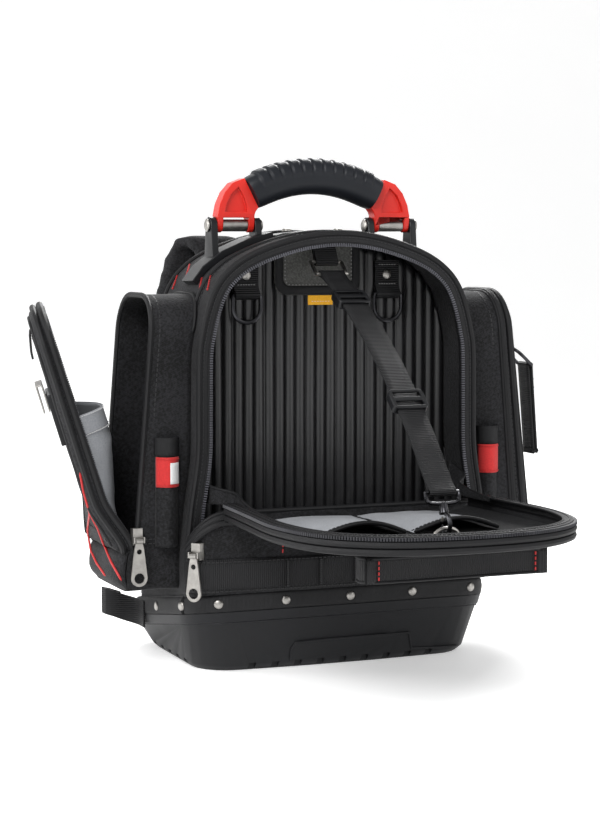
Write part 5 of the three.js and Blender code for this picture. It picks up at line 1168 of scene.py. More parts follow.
def make_wing(name, side):
    low = FLAP_TOP - 1
    on_bay = arch_reach(low + WING_RISE) - TAPE_WIDTH

    def place(u, v):
        y = -lerp(WING_ROOT, WING_TIP, u)
        high = low + 3 + WING_RISE * (1 - u) ** 1.6
        on_flap = flap_reach(y) - 9
        out = lerp(on_bay, on_flap, smoothstep((-y - SHELL_FRONT) / (FLAP_ROOT - SHELL_FRONT))) - 4 * FIT
        sag = 1.4 * math.sin(math.pi * v) * (1 - u)
        return Vector((side * (out - 0.8 - sag), y, lerp(low, high, v)))

    bm = cloth_patch(44, 10, place, (112, 20), (0, -100, 160))
    piece = stand_in(bm, f"flap_wing_{name}", "cordura", wall=1.2)
    top = Line([place(i / 20, 1) for i in range(21)])
    roll(top, 1.2, f"wing_binding_{name}", "binding", (1, 0, 0))


def make_flap_belt():
    front = -FLAP_ROOT - FLAP_REACH + FLAP_BELT_SET_BACK
    half = FLAP_BELT_HALF_WIDTH
    corner = 11
    right = arc(half, front + corner, corner, -90, 0, 8) + [(half + corner * 0.8, front + FLAP_BELT_RETURN)]
    plan = [(-x, y) for x, y in reversed(right)] + right
    top = FLAP_TOP - FLAP_DEPTH - FIT
    line = Line([(x, y + 0.8, top) for x, y in plan])

    def place(u, v):
        point = line.at(u)
        point.z -= v * FLAP_BELT_HEIGHT
        point.y += 1.2 * math.sin(point.x / 31)
        return point

    bm = cloth_patch(150, 6, place, (line.length, FLAP_BELT_HEIGHT), (0, front + 30, 120))
    stand_in(bm, "flap_belt", "webbing", wall=1.8)
    for name, drop, radius in (("top", 0.6, 1.7), ("bottom", 20.2, 1.1)):
        way = straight([place(i / 90, drop / FLAP_BELT_HEIGHT) for i in range(91)])
        roll(way, radius, f"belt_edge_{name}", "binding")
    marks = []
    for x in (1 - half, half - 1):
        y = front + 0.2 + 1.2 * math.sin(x / 31)
        marks.append(straight([(x, y, top - 2), (x, y, top + 2 - FLAP_BELT_HEIGHT)]))
    row_of(marks, "belt_red_stitches", "red thread", (0, -1, 0), 2.6, 1.2, 0.5, lift=0.4)


# Stay strap, its buckles, hook and rings

STAY_TOP = (-60, 357)
STAY_FOOT = (-294, 182)
STAY_ANCHOR = (-47, 368)
STAY_BOW = 17
STAY_WIDTH = 24
BAR = 1.7
HOOK_LEAN = math.radians(72)
HOOK_REACH = 34.5
HOOK_BOW = 7.5
FLAP_RING_WIDTH = 25


def stay_point(share, lift=0.0):
    dy, dz = STAY_FOOT[0] - STAY_TOP[0], STAY_FOOT[1] - STAY_TOP[1]
    length = math.hypot(dy, dz)
    rise = lift + STAY_BOW * 4 * share * (1 - share)
    y = STAY_TOP[0] + dy * share + rise * dz / length
    return Vector((0, y, STAY_TOP[1] + dz * share - rise * dy / length))


def in_hook(w, v, x=0.0):
    """A place in the hook's own frame: across its bow and down its length."""
    lean = HOOK_LEAN - math.pi / 2
    y, z = w, -v
    return Vector((x, STAY_FOOT[0] + y * math.cos(lean) - z * math.sin(lean),
                   STAY_FOOT[1] + y * math.sin(lean) + z * math.cos(lean)))


def make_stay_pieces():
    slope = math.degrees(math.atan2(STAY_TOP[1] - STAY_FOOT[1], STAY_TOP[0] - STAY_FOOT[0]))
    end = BAR + 1.7
    steps = [lerp(0.03, 0.97, i / 30) for i in range(31)]
    loop = [Vector((0, y, z)) for y, z in arc(*STAY_TOP, end, slope - 70, slope + 70, 8)]
    loop += [stay_point(share, 1.1 + 0.25 * math.sin(40 * share)) for share in steps]
    loop += [Vector((0, y, z)) for y, z in arc(*STAY_FOOT, end, slope + 110, slope + 250, 8)]
    loop += [stay_point(share, -1.1 + 0.2 * math.sin(33 * share)) for share in reversed(steps)]
    line = Line(loop, closed=True, steps=2)

    def place(u, v):
        return line.at(u) + Vector(((v - 0.5) * STAY_WIDTH, 0, 0))

    bm = cloth_patch(260, 4, place, (line.length, STAY_WIDTH), stay_point(0.5), closed=True)
    stand_in(bm, "stay_strap", "webbing", wall=0.9, smooth=70)
    hard("stay_anchor", "web up", 0.4)
    for name in ("stay_buckle_upper", "stay_buckle_lower"):
        hard(name, "black plastic", 0.7)
    half = STAY_WIDTH / 2 + BAR + 1.2
    top, anchor = Vector((0, *STAY_TOP)), Vector((0, *STAY_ANCHOR))
    path = [(0, -half + 2), (0, half - 2), (0.12, half), (0.88, half), (1, half - 2), (1, -half + 2),
            (0.88, -half), (0.12, -half)]
    ring = Line([anchor.lerp(top, share) + Vector((x, 0, 0)) for share, x in path], closed=True, steps=3)
    roll(ring, BAR, "stay_ring_finish", "pull metal", (0, 0, 1), replaces=("stay_ring",))
    corners = ((-half + 2, 0), (half - 2, 0), (half, 2), (half - 3, 9), (-half + 3, 9), (-half, 2))
    eye = [in_hook(0, v, x) for x, v in corners]
    middle = HOOK_REACH - HOOK_BOW
    bow = [(0, 15), (-1.5, 18), (-HOOK_BOW + 1, 22)]
    bow += arc(0, middle, HOOK_BOW, 180, 0, 14) + [(HOOK_BOW, middle - 1.4)]
    bm = tube(Line(eye, closed=True, steps=3), BAR, (0, 1, 0))
    tube(Line([in_hook(w, v) for w, v in bow], steps=3), 2, (1, 0, 0), skin=bm)
    axis = in_hook(0, 1) - in_hook(0, 0)
    lathe([(9, 1.5), (9, 3.2), (9.5, 3.7), (12, 3.3), (15, 3.3), (17.5, 3.7), (18.2, 3), (18.2, 1.5)],
          in_hook(0, 0), axis, bm)
    lathe([(-3.5, 0), (-3.5, 1.7), (3.5, 1.7), (3.5, 0)], in_hook(1.4, 17.2), (1, 0, 0), bm)
    closed_seam(bm)
    bmesh.ops.recalc_face_normals(bm, faces=bm.faces[:])
    stand_in(bm, "stay_hook", "dark steel")
    gate = straight([in_hook(4, 19.6), in_hook(HOOK_BOW - 0.4, middle - 3)])
    roll(gate, 1.3, "stay_gate_finish", "pull metal", (1, 0, 0), body="hook_gate", replaces=("stay_gate",))
    catch = HOOK_REACH - 2 - BAR - 0.5
    place_y = STAY_FOOT[0] - catch * math.cos(HOOK_LEAN)
    place_z = STAY_FOOT[1] - catch * math.sin(HOOK_LEAN)
    floor_eye = FLAP_FLOOR + WEB + BAR + 0.5 - 0.4
    half = FLAP_RING_WIDTH / 2 - BAR
    bow = min(half, place_z - floor_eye - 4)
    points = [(half, place_y, floor_eye), (-half, place_y, floor_eye)]
    for i in range(17):
        turn = math.pi * (1 - i / 16)
        points.append((half * math.cos(turn), place_y, place_z - bow + bow * math.sin(turn)))
    ring = straight(points, closed=True)
    roll(ring, BAR, "flap_ring_finish", "pull metal", (0, 1, 0), replaces=("flap_ring",))
    hard("flap_ring_tab", "web up", 0.4)


# Handle

def make_handle_pieces():
    middle = GRIP_TOP - GRIP_HEIGHT / 2

    def grip(u, v):
        share = lerp(-1, 1, u)
        turn = 2 * math.pi * v
        lean = math.atan2(2 * GRIP_DROOP * share, GRIP_HALF_LENGTH)
        end = 1 - 0.07 * abs(share) ** 14
        up = math.sin(turn)
        ribbed = 0.0
        along = (share / 0.86 + 1) / 2 * GRIP_RIBS
        if 0 < along < GRIP_RIBS and up > 0.1:
            edge = smoothstep((up - 0.1) / 0.16)
            ribbed = 2.0 * edge * (0.2 + 0.8 * smoothstep(2.2 * math.sin(math.pi * (along % 1)) - 0.35))
        half_up = (GRIP_HEIGHT / 2 - 0.6) * end
        half_out = (GRIP_DEPTH / 2 + 0.6) * end
        square = (abs(math.cos(turn)) ** 2.6 + abs(up) ** 2.6) ** (-1 / 2.6)
        rise = half_up * up * square + ribbed * max(up, 0)
        half_out += ribbed * 0.7 * abs(math.cos(turn))
        x = share * GRIP_HALF_LENGTH + rise * math.sin(lean)
        z = middle - GRIP_DROOP * share * share + rise * math.cos(lean)
        return Vector((x, PIN_Y + half_out * math.cos(turn) * square, z))

    bm = closed_seam(patch(220, 56, grip, (2 * GRIP_HALF_LENGTH, 100)))
    holes = [edge for edge in bm.edges if edge.is_boundary]
    bmesh.ops.holes_fill(bm, edges=holes, sides=0)
    bmesh.ops.recalc_face_normals(bm, faces=bm.faces[:])
    stand_in(bm, "grip", "rubber", body=HANDLE, smooth=50)
    for name, side in SIDES:
        hard(f"arm_{name}", "red plastic", 1.6, HANDLE, segments=4)
        hard(f"bracket_{name}", "black plastic", 2.4, segments=4)
        outer = ARM_HALF_GAP + ARM_EAR + 2 * FIT + BRACKET_EAR
        inner = ARM_HALF_GAP - FIT
        cap = [(outer + 2.4, 0), (outer + 2.4, 4.2), (outer + 1.4, 6), (outer, 6), (outer, 3), (inner, 3),
               (inner, 5.6)]
        profile = [(-u, r) for u, r in cap] + list(reversed(cap))
        bm = lathe(profile, (side * PIN_X, PIN_Y, PIN_Z), (1, 0, 0), steps=28)
        stand_in(bm, f"pin_{name}", "pull metal", bevel=0.3)
    hard("top_plate", "black plastic", 0.5)
    places = [((sign * 26, PIN_Y, ARCH_TOP + 2.2), (sign * 0.05, 0, 1)) for sign in (-1, 1)]
    domes(places, 4.6, 2.2, "top_plate_screws", "pull metal")


# Side pockets, sleeves and doors

POUCH = ((0.6, 1), (0.93, 0.88), (0.97, 0.75), (1, 0.6), (1, 0.48), (0.97, 0.34), (0.82, 0.2), (0.32, 0))


def pouch_out(up):
    rows = sorted((u, out) for out, u in POUCH)
    for (u0, out0), (u1, out1) in zip(rows, rows[1:]):
        if up <= u1:
            return lerp(out0, out1, max((up - u0) / (u1 - u0), 0))
    return 0


def swell(along):
    away = min(along, 1 - along)
    return 0.35 + 0.65 * math.sqrt(max(1 - (1 - min(away / 0.22, 1)) ** 2, 0))


def pocket_x(y, z):
    """How far out the pocket's mouth, or its pouch below the mouth, reaches."""
    height = DOOR_FOOT - POCKET_BOTTOM
    up = (z - POCKET_BOTTOM) / height
    along = (y + POCKET_FRONT) / (POCKET_FRONT + POCKET_BACK)
    bulge = pouch_out(min(max(up, 0), 1)) * BULGE * swell(along) if up < 1 else 0
    return mouth_reach(max(z, DOOR_FOOT if up >= 1 else z)) + bulge


def make_pocket(name, side):
    closed = straight([(0, y, z) for y, z in pocket_outline()], closed=True)

    def walls(u, v):
        point = closed.at(u)
        near = arch_reach(point.z) + 0.6
        puff = 1.3 * math.sin(math.pi * v) * noise.noise(Vector((u * 9, side * 3, v * 2)))
        x = lerp(near, pocket_x(point.y, point.z), v)
        out = Vector((0, point.y - DOOR_MIDDLE, point.z - 200)).normalized()
        return Vector((side * x, point.y, point.z)) + out * puff

    bm = cloth_patch(150, 10, walls, (closed.length, 50), (side * 165, DOOR_MIDDLE, 200), closed=True)
    stand_in(bm, f"{name}_pocket", "cordura", wall=CLOTH, smooth=60)

    def pouch(u, v):
        z = lerp(POCKET_BOTTOM + 0.5, DOOR_FOOT - 0.5, v)
        y = lerp(-POCKET_FRONT + 0.5, POCKET_BACK - 0.5, u)
        return Vector((side * (pocket_x(y, z) - 0.3), y, z))

    bm = cloth_patch(44, 18, pouch, (100, 45), (side * 150, DOOR_MIDDLE, 95), sway=(0.5, 18, side))
    put(bm, f"{name}_pouch", "cordura", wall=2.2, smooth=60)
    mouth = [(y, z) for y, z in pocket_outline(0.6) if z >= DOOR_FOOT - 1]
    mouth = [(POCKET_BACK - 0.6, DOOR_FOOT)] + mouth + [(-POCKET_FRONT + 0.6, DOOR_FOOT)]
    edge, seam = (straight([(side * (mouth_reach(z) - back), y, z) for y, z in mouth]) for back in (0.8, 9))
    roll(edge, 2.5, f"{name}_mouth_binding", "binding", (1, 0, 0))
    row_of([seam], f"{name}_seam_stitches", "dark thread", (1, 0, 0), 3, 1.4, 0.5)
    root = [(side * (arch_reach(z) + 2.2), y, z) for y, z in pocket_outline(-0.4) if z > 100]
    roll(straight(root), 1.8, f"{name}_pocket_root_piping", "binding", (1, 0, 0))
    y = -POCKET_FRONT - 0.4
    rows = [straight([(side * (arch_reach(z) + 4), y, z), (side * (mouth_reach(z) - 2), y, z)])
            for z in (DOOR_FOOT + 5, DOOR_FOOT + 9)]
    row_of(rows, f"{name}_pocket_seam", "dark thread", (0, -1, 0), 3, 1.4, 0.45)


# Between which heights the sleeves' red bands lie
RED_BAND = (168, 195)


def make_sleeve(name, side):
    back = -POCKET_FRONT - FIT
    centre = (side * SLEEVE_MIDDLE, back + 5, 182)

    def band(low, high, grow, u0=0.0, u1=1.0):
        def place(u, v):
            across = lerp(u0, u1, u)
            x = side * (SLEEVE_MIDDLE + (across - 0.5) * (SLEEVE_WIDTH + 2 * grow))
            y = back - max(math.sin(math.pi * across), 0) ** 0.7 * (SLEEVE_RISE + grow)
            return Vector((x, y, lerp(low, high, v)))
        return place

    wall = band(SLEEVE_BOTTOM, SLEEVE_TOP, 0.8)
    bm = cloth_patch(24, 40, wall, (34, 98), centre, sway=(0.4, 14, side * 2))
    stand_in(bm, f"{name}_sleeve", "cordura", wall=1.4, smooth=60, slot="webbing")
    bm = cloth_patch(24, 5, band(SLEEVE_TOP - 16, SLEEVE_TOP + 0.5, 1.7), (34, 16), centre)
    put(bm, f"{name}_sleeve_hem", "tape", wall=0.7)
    low, high = RED_BAND
    bm = cloth_patch(20, 8, band(low, high, 1.9, 0.04, 0.96), (30, 27), centre)
    put(bm, f"{name}_sleeve_red_band", "red cloth", wall=0.6)
    lines = []
    for z in (low + 1.6, high - 1.6):
        place = band(z, z, 2.5, 0.06, 0.94)
        lines.append(Line([place(i / 12, 0) for i in range(13)]))
    row_of(lines, f"{name}_red_band_stitches", "red thread", (0, 0, 1), 2, 1.1, 0.3)
    if side < 0:
        bm = cloth_patch(10, 6, band(low + 3, high - 5, 2.7, 0.1, 0.5), (13, 19), centre)
        put(bm, "left_sleeve_bare_tag", "white cloth", wall=0.4)


def door_outline(inset):
    rows = []
    for y, z in pocket_outline(inset, DOOR_FOOT):
        rows.append((y, (z - DOOR_FOOT) * DOOR_LENGTH / (POCKET_TOP - DOOR_FOOT)))
    return rows


RIM_STEPS = 140
DOOR_SECTION = ((0, 0), (0.2, -0.3), (0.55, 0.3), (0.72, 1.6), (0.86, 4), (0.95, 7.5), (1, 12), (1.03, 22))


def make_door(name, place, foot_depth, crown):
    """A door's shell in its own frame, from its zip edge over the rim to the middle of its face."""
    lines = []
    for share, inset in DOOR_SECTION:
        rows = [(door_depth(v, foot_depth) * share, w, v) for w, v in door_outline(inset)]
        lines.append(straight(rows, closed=True))
    inner = lines[-1]
    for i in range(1, 6):
        narrow = 1 - i / 5
        rise = crown * (1 - narrow ** 2)
        rows = [(p.x + rise, DOOR_MIDDLE + (p.y - DOOR_MIDDLE) * narrow, p.z) for p in inner.points[:-1]]
        lines.append(straight(rows, closed=True))
    bm = closed_seam(patch(150, len(lines) - 1, through(lines), (600, 60)))
    for vert in bm.verts:
        vert.co = place(*vert.co)
    side = -1 if name == "left" else 1
    facing(bm, place(-20, DOOR_MIDDLE, 110))
    swayed(bm, 0.8, 24, side * 5)
    stand_in(bm, f"{name}_door", "cordura", wall=CLOTH, smooth=60)

    def rim(share, inset, lift=0.0):
        rows = [(door_depth(v, foot_depth) * share + lift, w, v) for w, v in door_outline(inset)]
        flat = straight(rows)
        return straight([place(*flat.at(i / RIM_STEPS)) for i in range(RIM_STEPS + 1)])

    roll(rim(0.08, 0), 3.4, f"{name}_door_zip_roll", "binding", (1, 0, 0))
    roll(rim(0.55, 0.2), 3.0, f"{name}_door_rim_roll", "binding", (1, 0, 0))
    roll(rim(0.96, 8), 1.7, f"{name}_door_face_piping", "binding", (1, 0, 0))
    row_of([rim(-0.04, 2.6, -1.6)], f"{name}_door_teeth", "teeth", (side, 0, 0), 1.1, 0.9, 0.8, flat=0.7)
    row_of([rim(0.28, -0.6)], f"{name}_door_stitches", "dark thread", (side, 0, 0), 2.8, 1.4, 0.4)
    row_of([rim(1.0, 13, 0.6)], f"{name}_door_face_stitches", "dark thread", (side, 0, 0), 2.8, 1.4, 0.4)


def photo_ray(px, py):
    """The way that the camera looks through a pixel of the photograph."""
    yaw, pitch = math.radians(CAMERA_YAW), math.radians(CAMERA_PITCH)
    ahead = Vector((math.sin(yaw) * math.cos(pitch), math.cos(yaw) * math.cos(pitch), -math.sin(pitch)))
    right = Vector((math.cos(yaw), -math.sin(yaw), 0))
    up = right.cross(ahead)
    return (ahead * CAMERA_FOCUS + right * (px - 300) - up * (py - PHOTO_HEIGHT / 2)).normalized()


# The step low on the tub's front, as pixels of the photograph
TUB_STEP = (
    (290, 661), (291, 649), (296, 642), (330, 638.5), (370, 635.5), (409, 632.5), (411, 648), (440, 647),
    (462, 645),
)
# Red stitches on the shell's shoulder, as pixels of the photograph
SHELL_RED_STITCHES = (
    ((204, 272), (200, 291)), ((212, 273), (208, 291)),
    ((191, 262), (186, 280)), ((178, 276), (173, 290)),
)
# Where the red piping runs on the open door's outer face, as pixels of the photograph
RED_PIPING = (
    ("stem", ((80, 472), (84, 492), (90, 513))),
    ("inner", ((90, 513), (88, 530), (90, 548), (97, 563), (106, 576))),
    ("outer", ((90, 513), (98, 528), (105, 547), (112, 563), (122, 581))),
)


def on_face(tree, pixels, lift):
    """Places on a surface behind a row of pixels of the photograph, lifted towards the camera's side."""
    steps = 6
    eye = Vector(CAMERA_PLACE) / MM
    trail = [pixels[0]]
    for (x0, y0), (x1, y1) in zip(pixels, pixels[1:]):
        trail += [(lerp(x0, x1, i / steps), lerp(y0, y1, i / steps)) for i in range(1, steps + 1)]
    out = []
    for px, py in trail:
        way = photo_ray(px, py)
        hit, normal, _, _ = tree.ray_cast(eye, way)
        if hit is not None:
            out.append(hit + (normal if normal.dot(way) < 0 else -normal) * lift)
    return out


def make_left_door():
    make_door("left", left_door, LEFT_DOOR_DEPTH, 1.5)
    tree = tree_of("left_door_finish", "left_pouch")
    for name, pixels in RED_PIPING:
        points = on_face(tree, pixels, 0.4)
        if len(points) > 1:
            roll(points, 1.1, f"door_red_piping_{name}", "red thread", (1, 0, 0))
    height = DOOR_POCKET_HEIGHT
    edge = CLOTH + 3 * FIT

    def sheet(u, v):
        rise = 0.05 + 0.95 * min(1.35 * v, 1)
        w = lerp(-POCKET_FRONT + edge, POCKET_BACK - edge, u)
        x = 3 - math.sin(math.pi * u) * (DOOR_POCKET_BULGE * rise + 2)
        return left_door(x, w, height * lerp(0.06, 1, v) - 4 * math.sin(math.pi * u) * v)

    door_face = left_door(20, DOOR_MIDDLE, 60)
    bm = cloth_patch(40, 44, sheet, (108, height), door_face, sway=(0.8, 17, 4))
    piece = stand_in(bm, "left_door_pocket", "grey cloth", wall=1.2, smooth=60)

    inward = left_door(-1, 0, 0) - left_door(0, 0, 0)

    def hem(u, v):
        return sheet(u, lerp(0.84, 1.005, v)) + inward * 1.2

    bm = cloth_patch(40, 6, hem, (108, 20), door_face)
    put(bm, "left_door_pocket_hem", "grey cloth", wall=0.7, smooth=60)
    lines = [Line([hem(i / 24, v) + inward * 0.9 for i in range(25)]) for v in (0.08, 0.93)]
    row_of(lines, "left_door_pocket_stitches", "white thread", (0, 0, 1), 2, 1.2, 0.3)
    hard("clip_plate", "black plastic", 1.0)
    hard("tape_clip", "pull metal", 0.35)
    hard("door_tab", "web up", 0.5)


def make_right_door():
    make_door("right", right_door, RIGHT_DOOR_DEPTH, 1.5)
    face = door_depth(HANG_TAB_UP, RIGHT_DOOR_DEPTH) + FIT
    eye = face + WEB + RING_WIRE + 1.3
    middle = DOOR_MIDDLE - HANG_FORWARD
    hard("hang_tab", "web up", 0.4)
    lean = math.radians(HANG_RING_LEAN)
    points = []
    for u, v in ring_path():
        drop = -RING_DROP - v
        out, up = -drop * math.sin(lean), drop * math.cos(lean)
        points.append(right_door(eye + out, middle + u, HANG_TAB_UP + up))
    ring = straight(points, closed=True)
    roll(ring, 1.7, "hang_ring_finish", "dark steel", (0, 0, 1), replaces=("hang_ring",))
    x = eye + RING_DROP * math.sin(lean)
    z = HANG_TAB_UP - RING_DROP * math.cos(lean)
    round_end = RING_WIRE + 0.6 + 1
    loop = (round_end + 1) * 0.8 - 1
    outline = arc(x, z, round_end, 0, 180, 8) + [(x - round_end * 0.8, z - 8)]
    outline += arc(x, z - HANG_LENGTH + loop, loop, 180, 360, 8) + [(x + round_end * 0.8, z - 8)]
    line = Line([Vector((u, 0, v)) for u, v in outline], closed=True, steps=4)

    def place(u, v):
        point = line.at(u)
        return right_door(point.x, middle + (v - 0.5) * HANG_WEB, point.z)

    bm = cloth_patch(120, 4, place, (line.length, HANG_WEB), right_door(x, middle, z - 40), closed=True)
    stand_in(bm, "hang_strap", "webbing", wall=1.4, smooth=70)
    marks = [straight([right_door(x + 4.4, middle + w, z - drop) for w in (-8, 8)]) for drop in (14, 22)]
    row_of(marks, "hang_strap_stitches", "dark thread", (1, 0, 0), 1.8, 1, 0.4)


def make_pull_pieces():
    for name, body in (("main", "main_zip_pull"), ("pocket", "pocket_zip_pull")):
        hard(f"{name}_slider", "pull metal", 0.7)
        hard(f"{name}_pull", "pull metal", 0.45, body)


# Back of the bag

def puffed(bm, cap):
    """Cloth that swells under its own pressure, with no point moving further than a cap, in millimetres."""
    mesh = bpy.data.meshes.new("swelling")
    bmesh.ops.scale(bm, vec=(MM,) * 3, verts=bm.verts[:])
    bm.to_mesh(mesh)
    bm.free()
    piece = bpy.data.objects.new("swelling", mesh)
    bpy.context.scene.collection.objects.link(piece)
    remesh = piece.modifiers.new("Even", "REMESH")
    remesh.mode = "VOXEL"
    remesh.voxel_size = 5 * MM
    start = [vert.co.copy() for vert in applied(piece).vertices]
    cloth = piece.modifiers.new("Swell", "CLOTH")
    cloth.settings.use_pressure = True
    cloth.settings.uniform_pressure_force = 4
    cloth.settings.effector_weights.gravity = 0
    for step in range(1, 21):
        bpy.context.scene.frame_set(step)
    mesh = applied(piece)
    bpy.context.scene.frame_set(1)
    out = bmesh.new()
    out.from_mesh(mesh)
    out.verts.ensure_lookup_table()
    for vert, first in zip(out.verts, start):
        way = vert.co - first
        if way.length > cap * MM:
            vert.co = first + way.normalized() * cap * MM
    bmesh.ops.smooth_vert(out, verts=out.verts[:], factor=0.4, use_axis_x=True, use_axis_y=True,
                          use_axis_z=True)
    bmesh.ops.scale(out, vec=(1 / MM,) * 3, verts=out.verts[:])
    bpy.data.objects.remove(piece)
    return out


def applied(piece):
    """The mesh of a piece with its modifiers worked in."""
    graph = bpy.context.evaluated_depsgraph_get()
    mesh = bpy.data.meshes.new_from_object(piece.evaluated_get(graph))
    piece.modifiers.clear()
    piece.data = mesh
    return mesh


def make_back_pieces():
    bm = puffed(from_node("back_pad"), 5)
    pad = stand_in(bm, "back_pad", "cordura", smooth=60, rounds=1)
    for name, _ in SIDES:
        bm = puffed(from_node(f"shoulder_strap_{name}"), 2)
        rounds = 1
        strap = stand_in(bm, f"shoulder_strap_{name}", "cordura", smooth=60, rounds=rounds)
        hard(f"web_tail_{name}", "web up", 0.5)


# Floor, light and camera

def make_floor_piece():
    """A level floor that curves up behind the backpack. These measures are in metres."""
    flat, bend, front = 6, 3, -4

    def place(u, v):
        x, run = lerp(-8, 8, u), v * 10
        if run < flat:
            return Vector((x, front + run, 0)) / MM
        turn = (run - flat) / 4 * math.pi / 2
        return Vector((x, front + flat + bend * math.sin(turn), bend * (1 - math.cos(turn)))) / MM

    bm = patch(2, 40, place, (16, 10))
    bmesh.ops.scale(bm, vec=(MM,) * 3, verts=bm.verts[:])
    mesh = bpy.data.meshes.new("floor")
    bm.to_mesh(mesh)
    bm.free()
    mesh.shade_smooth()
    floor = bpy.data.objects.new("floor", mesh)
    bpy.context.scene.collection.objects.link(floor)
    mesh.materials.append(make_floor("floor").material)


LIGHT_TARGET = Vector((0, 0, 0.2))


def add_light(name, place, size, energy):
    data = bpy.data.lights.new(name, "AREA")
    data.shape = "RECTANGLE"
    data.size, data.size_y = size
    data.energy = energy
    light = bpy.data.objects.new(name, data)
    light.location = place
    light.rotation_euler = (LIGHT_TARGET - Vector(place)).to_track_quat("-Z", "Y").to_euler()
    bpy.context.scene.collection.objects.link(light)


def make_camera():
    data = bpy.data.cameras.new("camera")
    data.sensor_width = SENSOR
    data.lens = CAMERA_FOCUS * SENSOR / PHOTO_HEIGHT
    camera = bpy.data.objects.new("camera", data)
    camera.location = CAMERA_PLACE
    camera.rotation_euler = (math.radians(90 - CAMERA_PITCH), 0, -math.radians(CAMERA_YAW))
    bpy.context.scene.collection.objects.link(camera)
    bpy.context.scene.camera = camera


# The add-on's settings, operators and panel

def colour_setting(name, description, default):
    return FloatVectorProperty(name=name, description=description, default=default, subtype="COLOR",
                               min=0, max=1)


def strength_setting(name, description, default):
    return FloatProperty(name=name, description=description, default=default, min=0)


class PackColours(PropertyGroup):
    """Colours of the backpack's finishes"""
    cloth: colour_setting("Heavy cloth", "Woven nylon of the shell and pockets", (0.0085, 0.0085, 0.0098))
    lining: colour_setting("Lining", "Cloth over the padded ribs", (0.007, 0.007, 0.008))
    web: colour_setting("Webs", "Webs, tapes and bindings", (0.007, 0.007, 0.008))
    grey_cloth: colour_setting("Grey cloth", "Inner pockets", (0.3, 0.31, 0.33))
    canvas: colour_setting("Canvas", "Patch at the top of the bay", (0.085, 0.085, 0.08))
    label: colour_setting("Label", "Bare label under the patch", (0.85, 0.42, 0.02))
    red_cloth: colour_setting("Red thread", "Red bands, piping and stitches", (0.5, 0.018, 0.018))
    white: colour_setting("White", "White thread and the bare tag", (0.72, 0.72, 0.72))
    elastic: colour_setting("Elastic", "Pale threads of the edge elastic", (0.4, 0.4, 0.42))
    tub: colour_setting("Tub", "Moulded tub", (0.0085, 0.0088, 0.0102))
    plastic: colour_setting("Black plastic", "Brackets and buckles", (0.0075, 0.0078, 0.009))
    rubber: colour_setting("Grip", "Soft grip", (0.009, 0.0105, 0.014))
    red: colour_setting("Red plastic", "Handle arms", (0.6, 0.02, 0.012))
    steel: colour_setting("Steel", "Plated steel", (0.55, 0.53, 0.5))
    dark_steel: colour_setting("Black steel", "Black plated wire", (0.06, 0.06, 0.065))
    teeth: colour_setting("Zip teeth", "Moulded zip teeth", (0.026, 0.026, 0.03))
    dark_thread: colour_setting("Dark thread", "Stitching", (0.009, 0.009, 0.0105))


class PackLight(PropertyGroup):
    """Studio light"""
    key: strength_setting("Key light", "Power of the main light, in watts", 52)
    fill: strength_setting("Fill light", "Power of the fill lights, in watts", 12)
    world: strength_setting("Surroundings", "Strength of the white surroundings", 0.5)


class BACKPACK_OT_tub(Operator):
    """Moulded tub and its rivet band"""
    bl_idname = "backpack.tub"
    bl_label = "Tub"

    def execute(self, context):
        make_tub_pieces()
        return {"FINISHED"}


class BACKPACK_OT_shell(Operator):
    """Main shell with its piping"""
    bl_idname = "backpack.shell"
    bl_label = "Shell"

    def execute(self, context):
        make_shell_pieces()
        return {"FINISHED"}


class BACKPACK_OT_zip(Operator):
    """Tape, teeth and binding round the mouth"""
    bl_idname = "backpack.zip"
    bl_label = "Main zip"

    def execute(self, context):
        make_zip_pieces()
        return {"FINISHED"}


class BACKPACK_OT_inner_panel(Operator):
    """Ribbed panel with its patch, tabs and rings"""
    bl_idname = "backpack.inner_panel"
    bl_label = "Ribbed panel"

    def execute(self, context):
        make_panel_pieces()
        return {"FINISHED"}


class BACKPACK_OT_apron(Operator):
    """Lower front panel and its web"""
    bl_idname = "backpack.apron"
    bl_label = "Front panel"

    def execute(self, context):
        make_apron_pieces()
        return {"FINISHED"}


class BACKPACK_OT_flap(Operator):
    """Open flap with its zip, pockets, wings and belt"""
    bl_idname = "backpack.flap"
    bl_label = "Flap"

    def execute(self, context):
        make_flap_pieces()
        return {"FINISHED"}


class BACKPACK_OT_stay(Operator):
    """Strap that holds the flap, its hook and rings"""
    bl_idname = "backpack.stay"
    bl_label = "Stay strap"

    def execute(self, context):
        make_stay_pieces()
        return {"FINISHED"}


class BACKPACK_OT_handle(Operator):
    """Grip, arms, brackets and pins"""
    bl_idname = "backpack.handle"
    bl_label = "Handle"

    def execute(self, context):
        make_handle_pieces()
        return {"FINISHED"}


class BACKPACK_OT_pockets(Operator):
    """Both side pockets"""
    bl_idname = "backpack.pockets"
    bl_label = "Side pockets"

    def execute(self, context):
        for name, side in SIDES:
            make_pocket(name, side)
        return {"FINISHED"}


class BACKPACK_OT_sleeves(Operator):
    """Both tool sleeves"""
    bl_idname = "backpack.sleeves"
    bl_label = "Tool sleeves"

    def execute(self, context):
        for name, side in SIDES:
            make_sleeve(name, side)
        return {"FINISHED"}


class BACKPACK_OT_left_door(Operator):
    """Open door with its pocket, clip and tab"""
    bl_idname = "backpack.left_door"
    bl_label = "Left door"

    def execute(self, context):
        make_left_door()
        return {"FINISHED"}


class BACKPACK_OT_right_door(Operator):
    """Closed door with its hanging strap"""
    bl_idname = "backpack.right_door"
    bl_label = "Right door"

    def execute(self, context):
        make_right_door()
        return {"FINISHED"}


class BACKPACK_OT_pulls(Operator):
    """Sliders and their pulls"""
    bl_idname = "backpack.pulls"
    bl_label = "Zip pulls"

    def execute(self, context):
        make_pull_pieces()
        return {"FINISHED"}


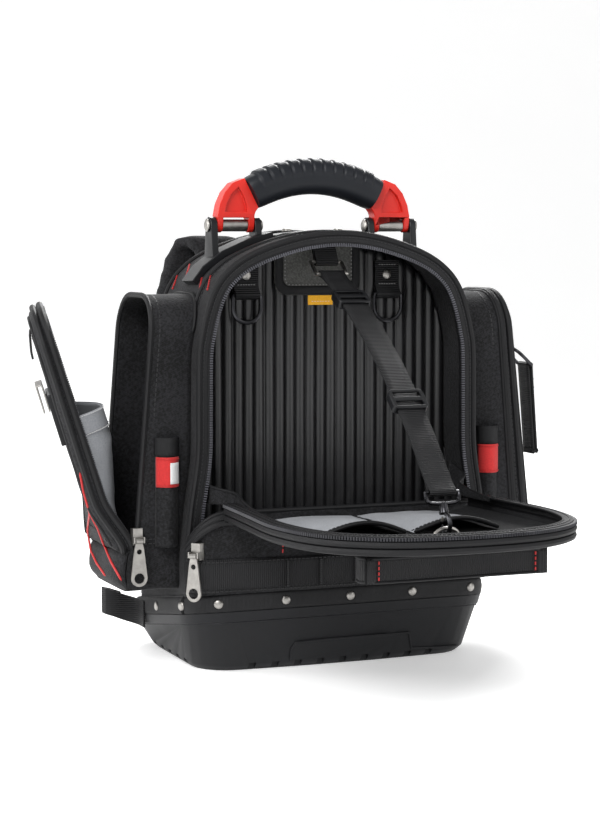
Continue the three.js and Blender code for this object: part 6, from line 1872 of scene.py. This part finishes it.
class BACKPACK_OT_back(Operator):
    """Back pad, shoulder straps and web loops"""
    bl_idname = "backpack.back"
    bl_label = "Back"

    def execute(self, context):
        make_back_pieces()
        return {"FINISHED"}


class BACKPACK_OT_stage(Operator):
    """Floor, soft studio light and the camera"""
    bl_idname = "backpack.stage"
    bl_label = "Stage"

    def execute(self, context):
        light = context.scene.pack_light
        make_floor_piece()
        make_camera()
        add_light("key", (-1.5, -1.5, 1.9), (1.3, 1.0), light.key)
        add_light("fill", (1.7, -1.9, 1.1), (1.4, 1.4), light.fill)
        add_light("rim", (0.9, 1.5, 1.7), (1.2, 0.8), light.key)
        add_light("left rim", (-1.9, 0.7, 0.9), (0.7, 1.2), light.fill * 1.5)
        world = bpy.data.worlds.new("studio")
        world.use_nodes = True
        background = world.node_tree.nodes["Background"]
        background.inputs["Color"].default_value = (1, 1, 1, 1)
        background.inputs["Strength"].default_value = light.world
        context.scene.world = world
        context.scene.view_settings.view_transform = "Standard"
        return {"FINISHED"}


PIECES = (
    BACKPACK_OT_tub, BACKPACK_OT_shell, BACKPACK_OT_zip, BACKPACK_OT_inner_panel, BACKPACK_OT_apron,
    BACKPACK_OT_flap, BACKPACK_OT_stay, BACKPACK_OT_handle, BACKPACK_OT_pockets, BACKPACK_OT_sleeves,
    BACKPACK_OT_left_door, BACKPACK_OT_right_door, BACKPACK_OT_pulls, BACKPACK_OT_back, BACKPACK_OT_stage,
)


class BACKPACK_PT_main(Panel):
    """Lists the groups of pieces and the settings"""
    bl_label = "Tool Backpack"
    bl_space_type = "VIEW_3D"
    bl_region_type = "UI"
    bl_category = "Backpack"

    def draw(self, context):
        for kind in PIECES:
            self.layout.operator(kind.bl_idname)
        for settings in (context.scene.pack_colours, context.scene.pack_light):
            box = self.layout.box()
            for key in settings.__annotations__:
                box.prop(settings, key)


CLASSES = (PackColours, PackLight) + PIECES + (BACKPACK_PT_main,)


def register():
    for kind in CLASSES:
        bpy.utils.register_class(kind)
    bpy.types.Scene.pack_colours = PointerProperty(type=PackColours)
    bpy.types.Scene.pack_light = PointerProperty(type=PackLight)


def unregister():
    del bpy.types.Scene.pack_light
    del bpy.types.Scene.pack_colours
    for kind in reversed(CLASSES):
        bpy.utils.unregister_class(kind)


def main():
    noise.seed_set(CLOTH_SEED)
    register()
    for kind in PIECES:
        group, name = kind.bl_idname.split(".")
        getattr(getattr(bpy.ops, group), name)()


if __name__ == "__main__":
    main()
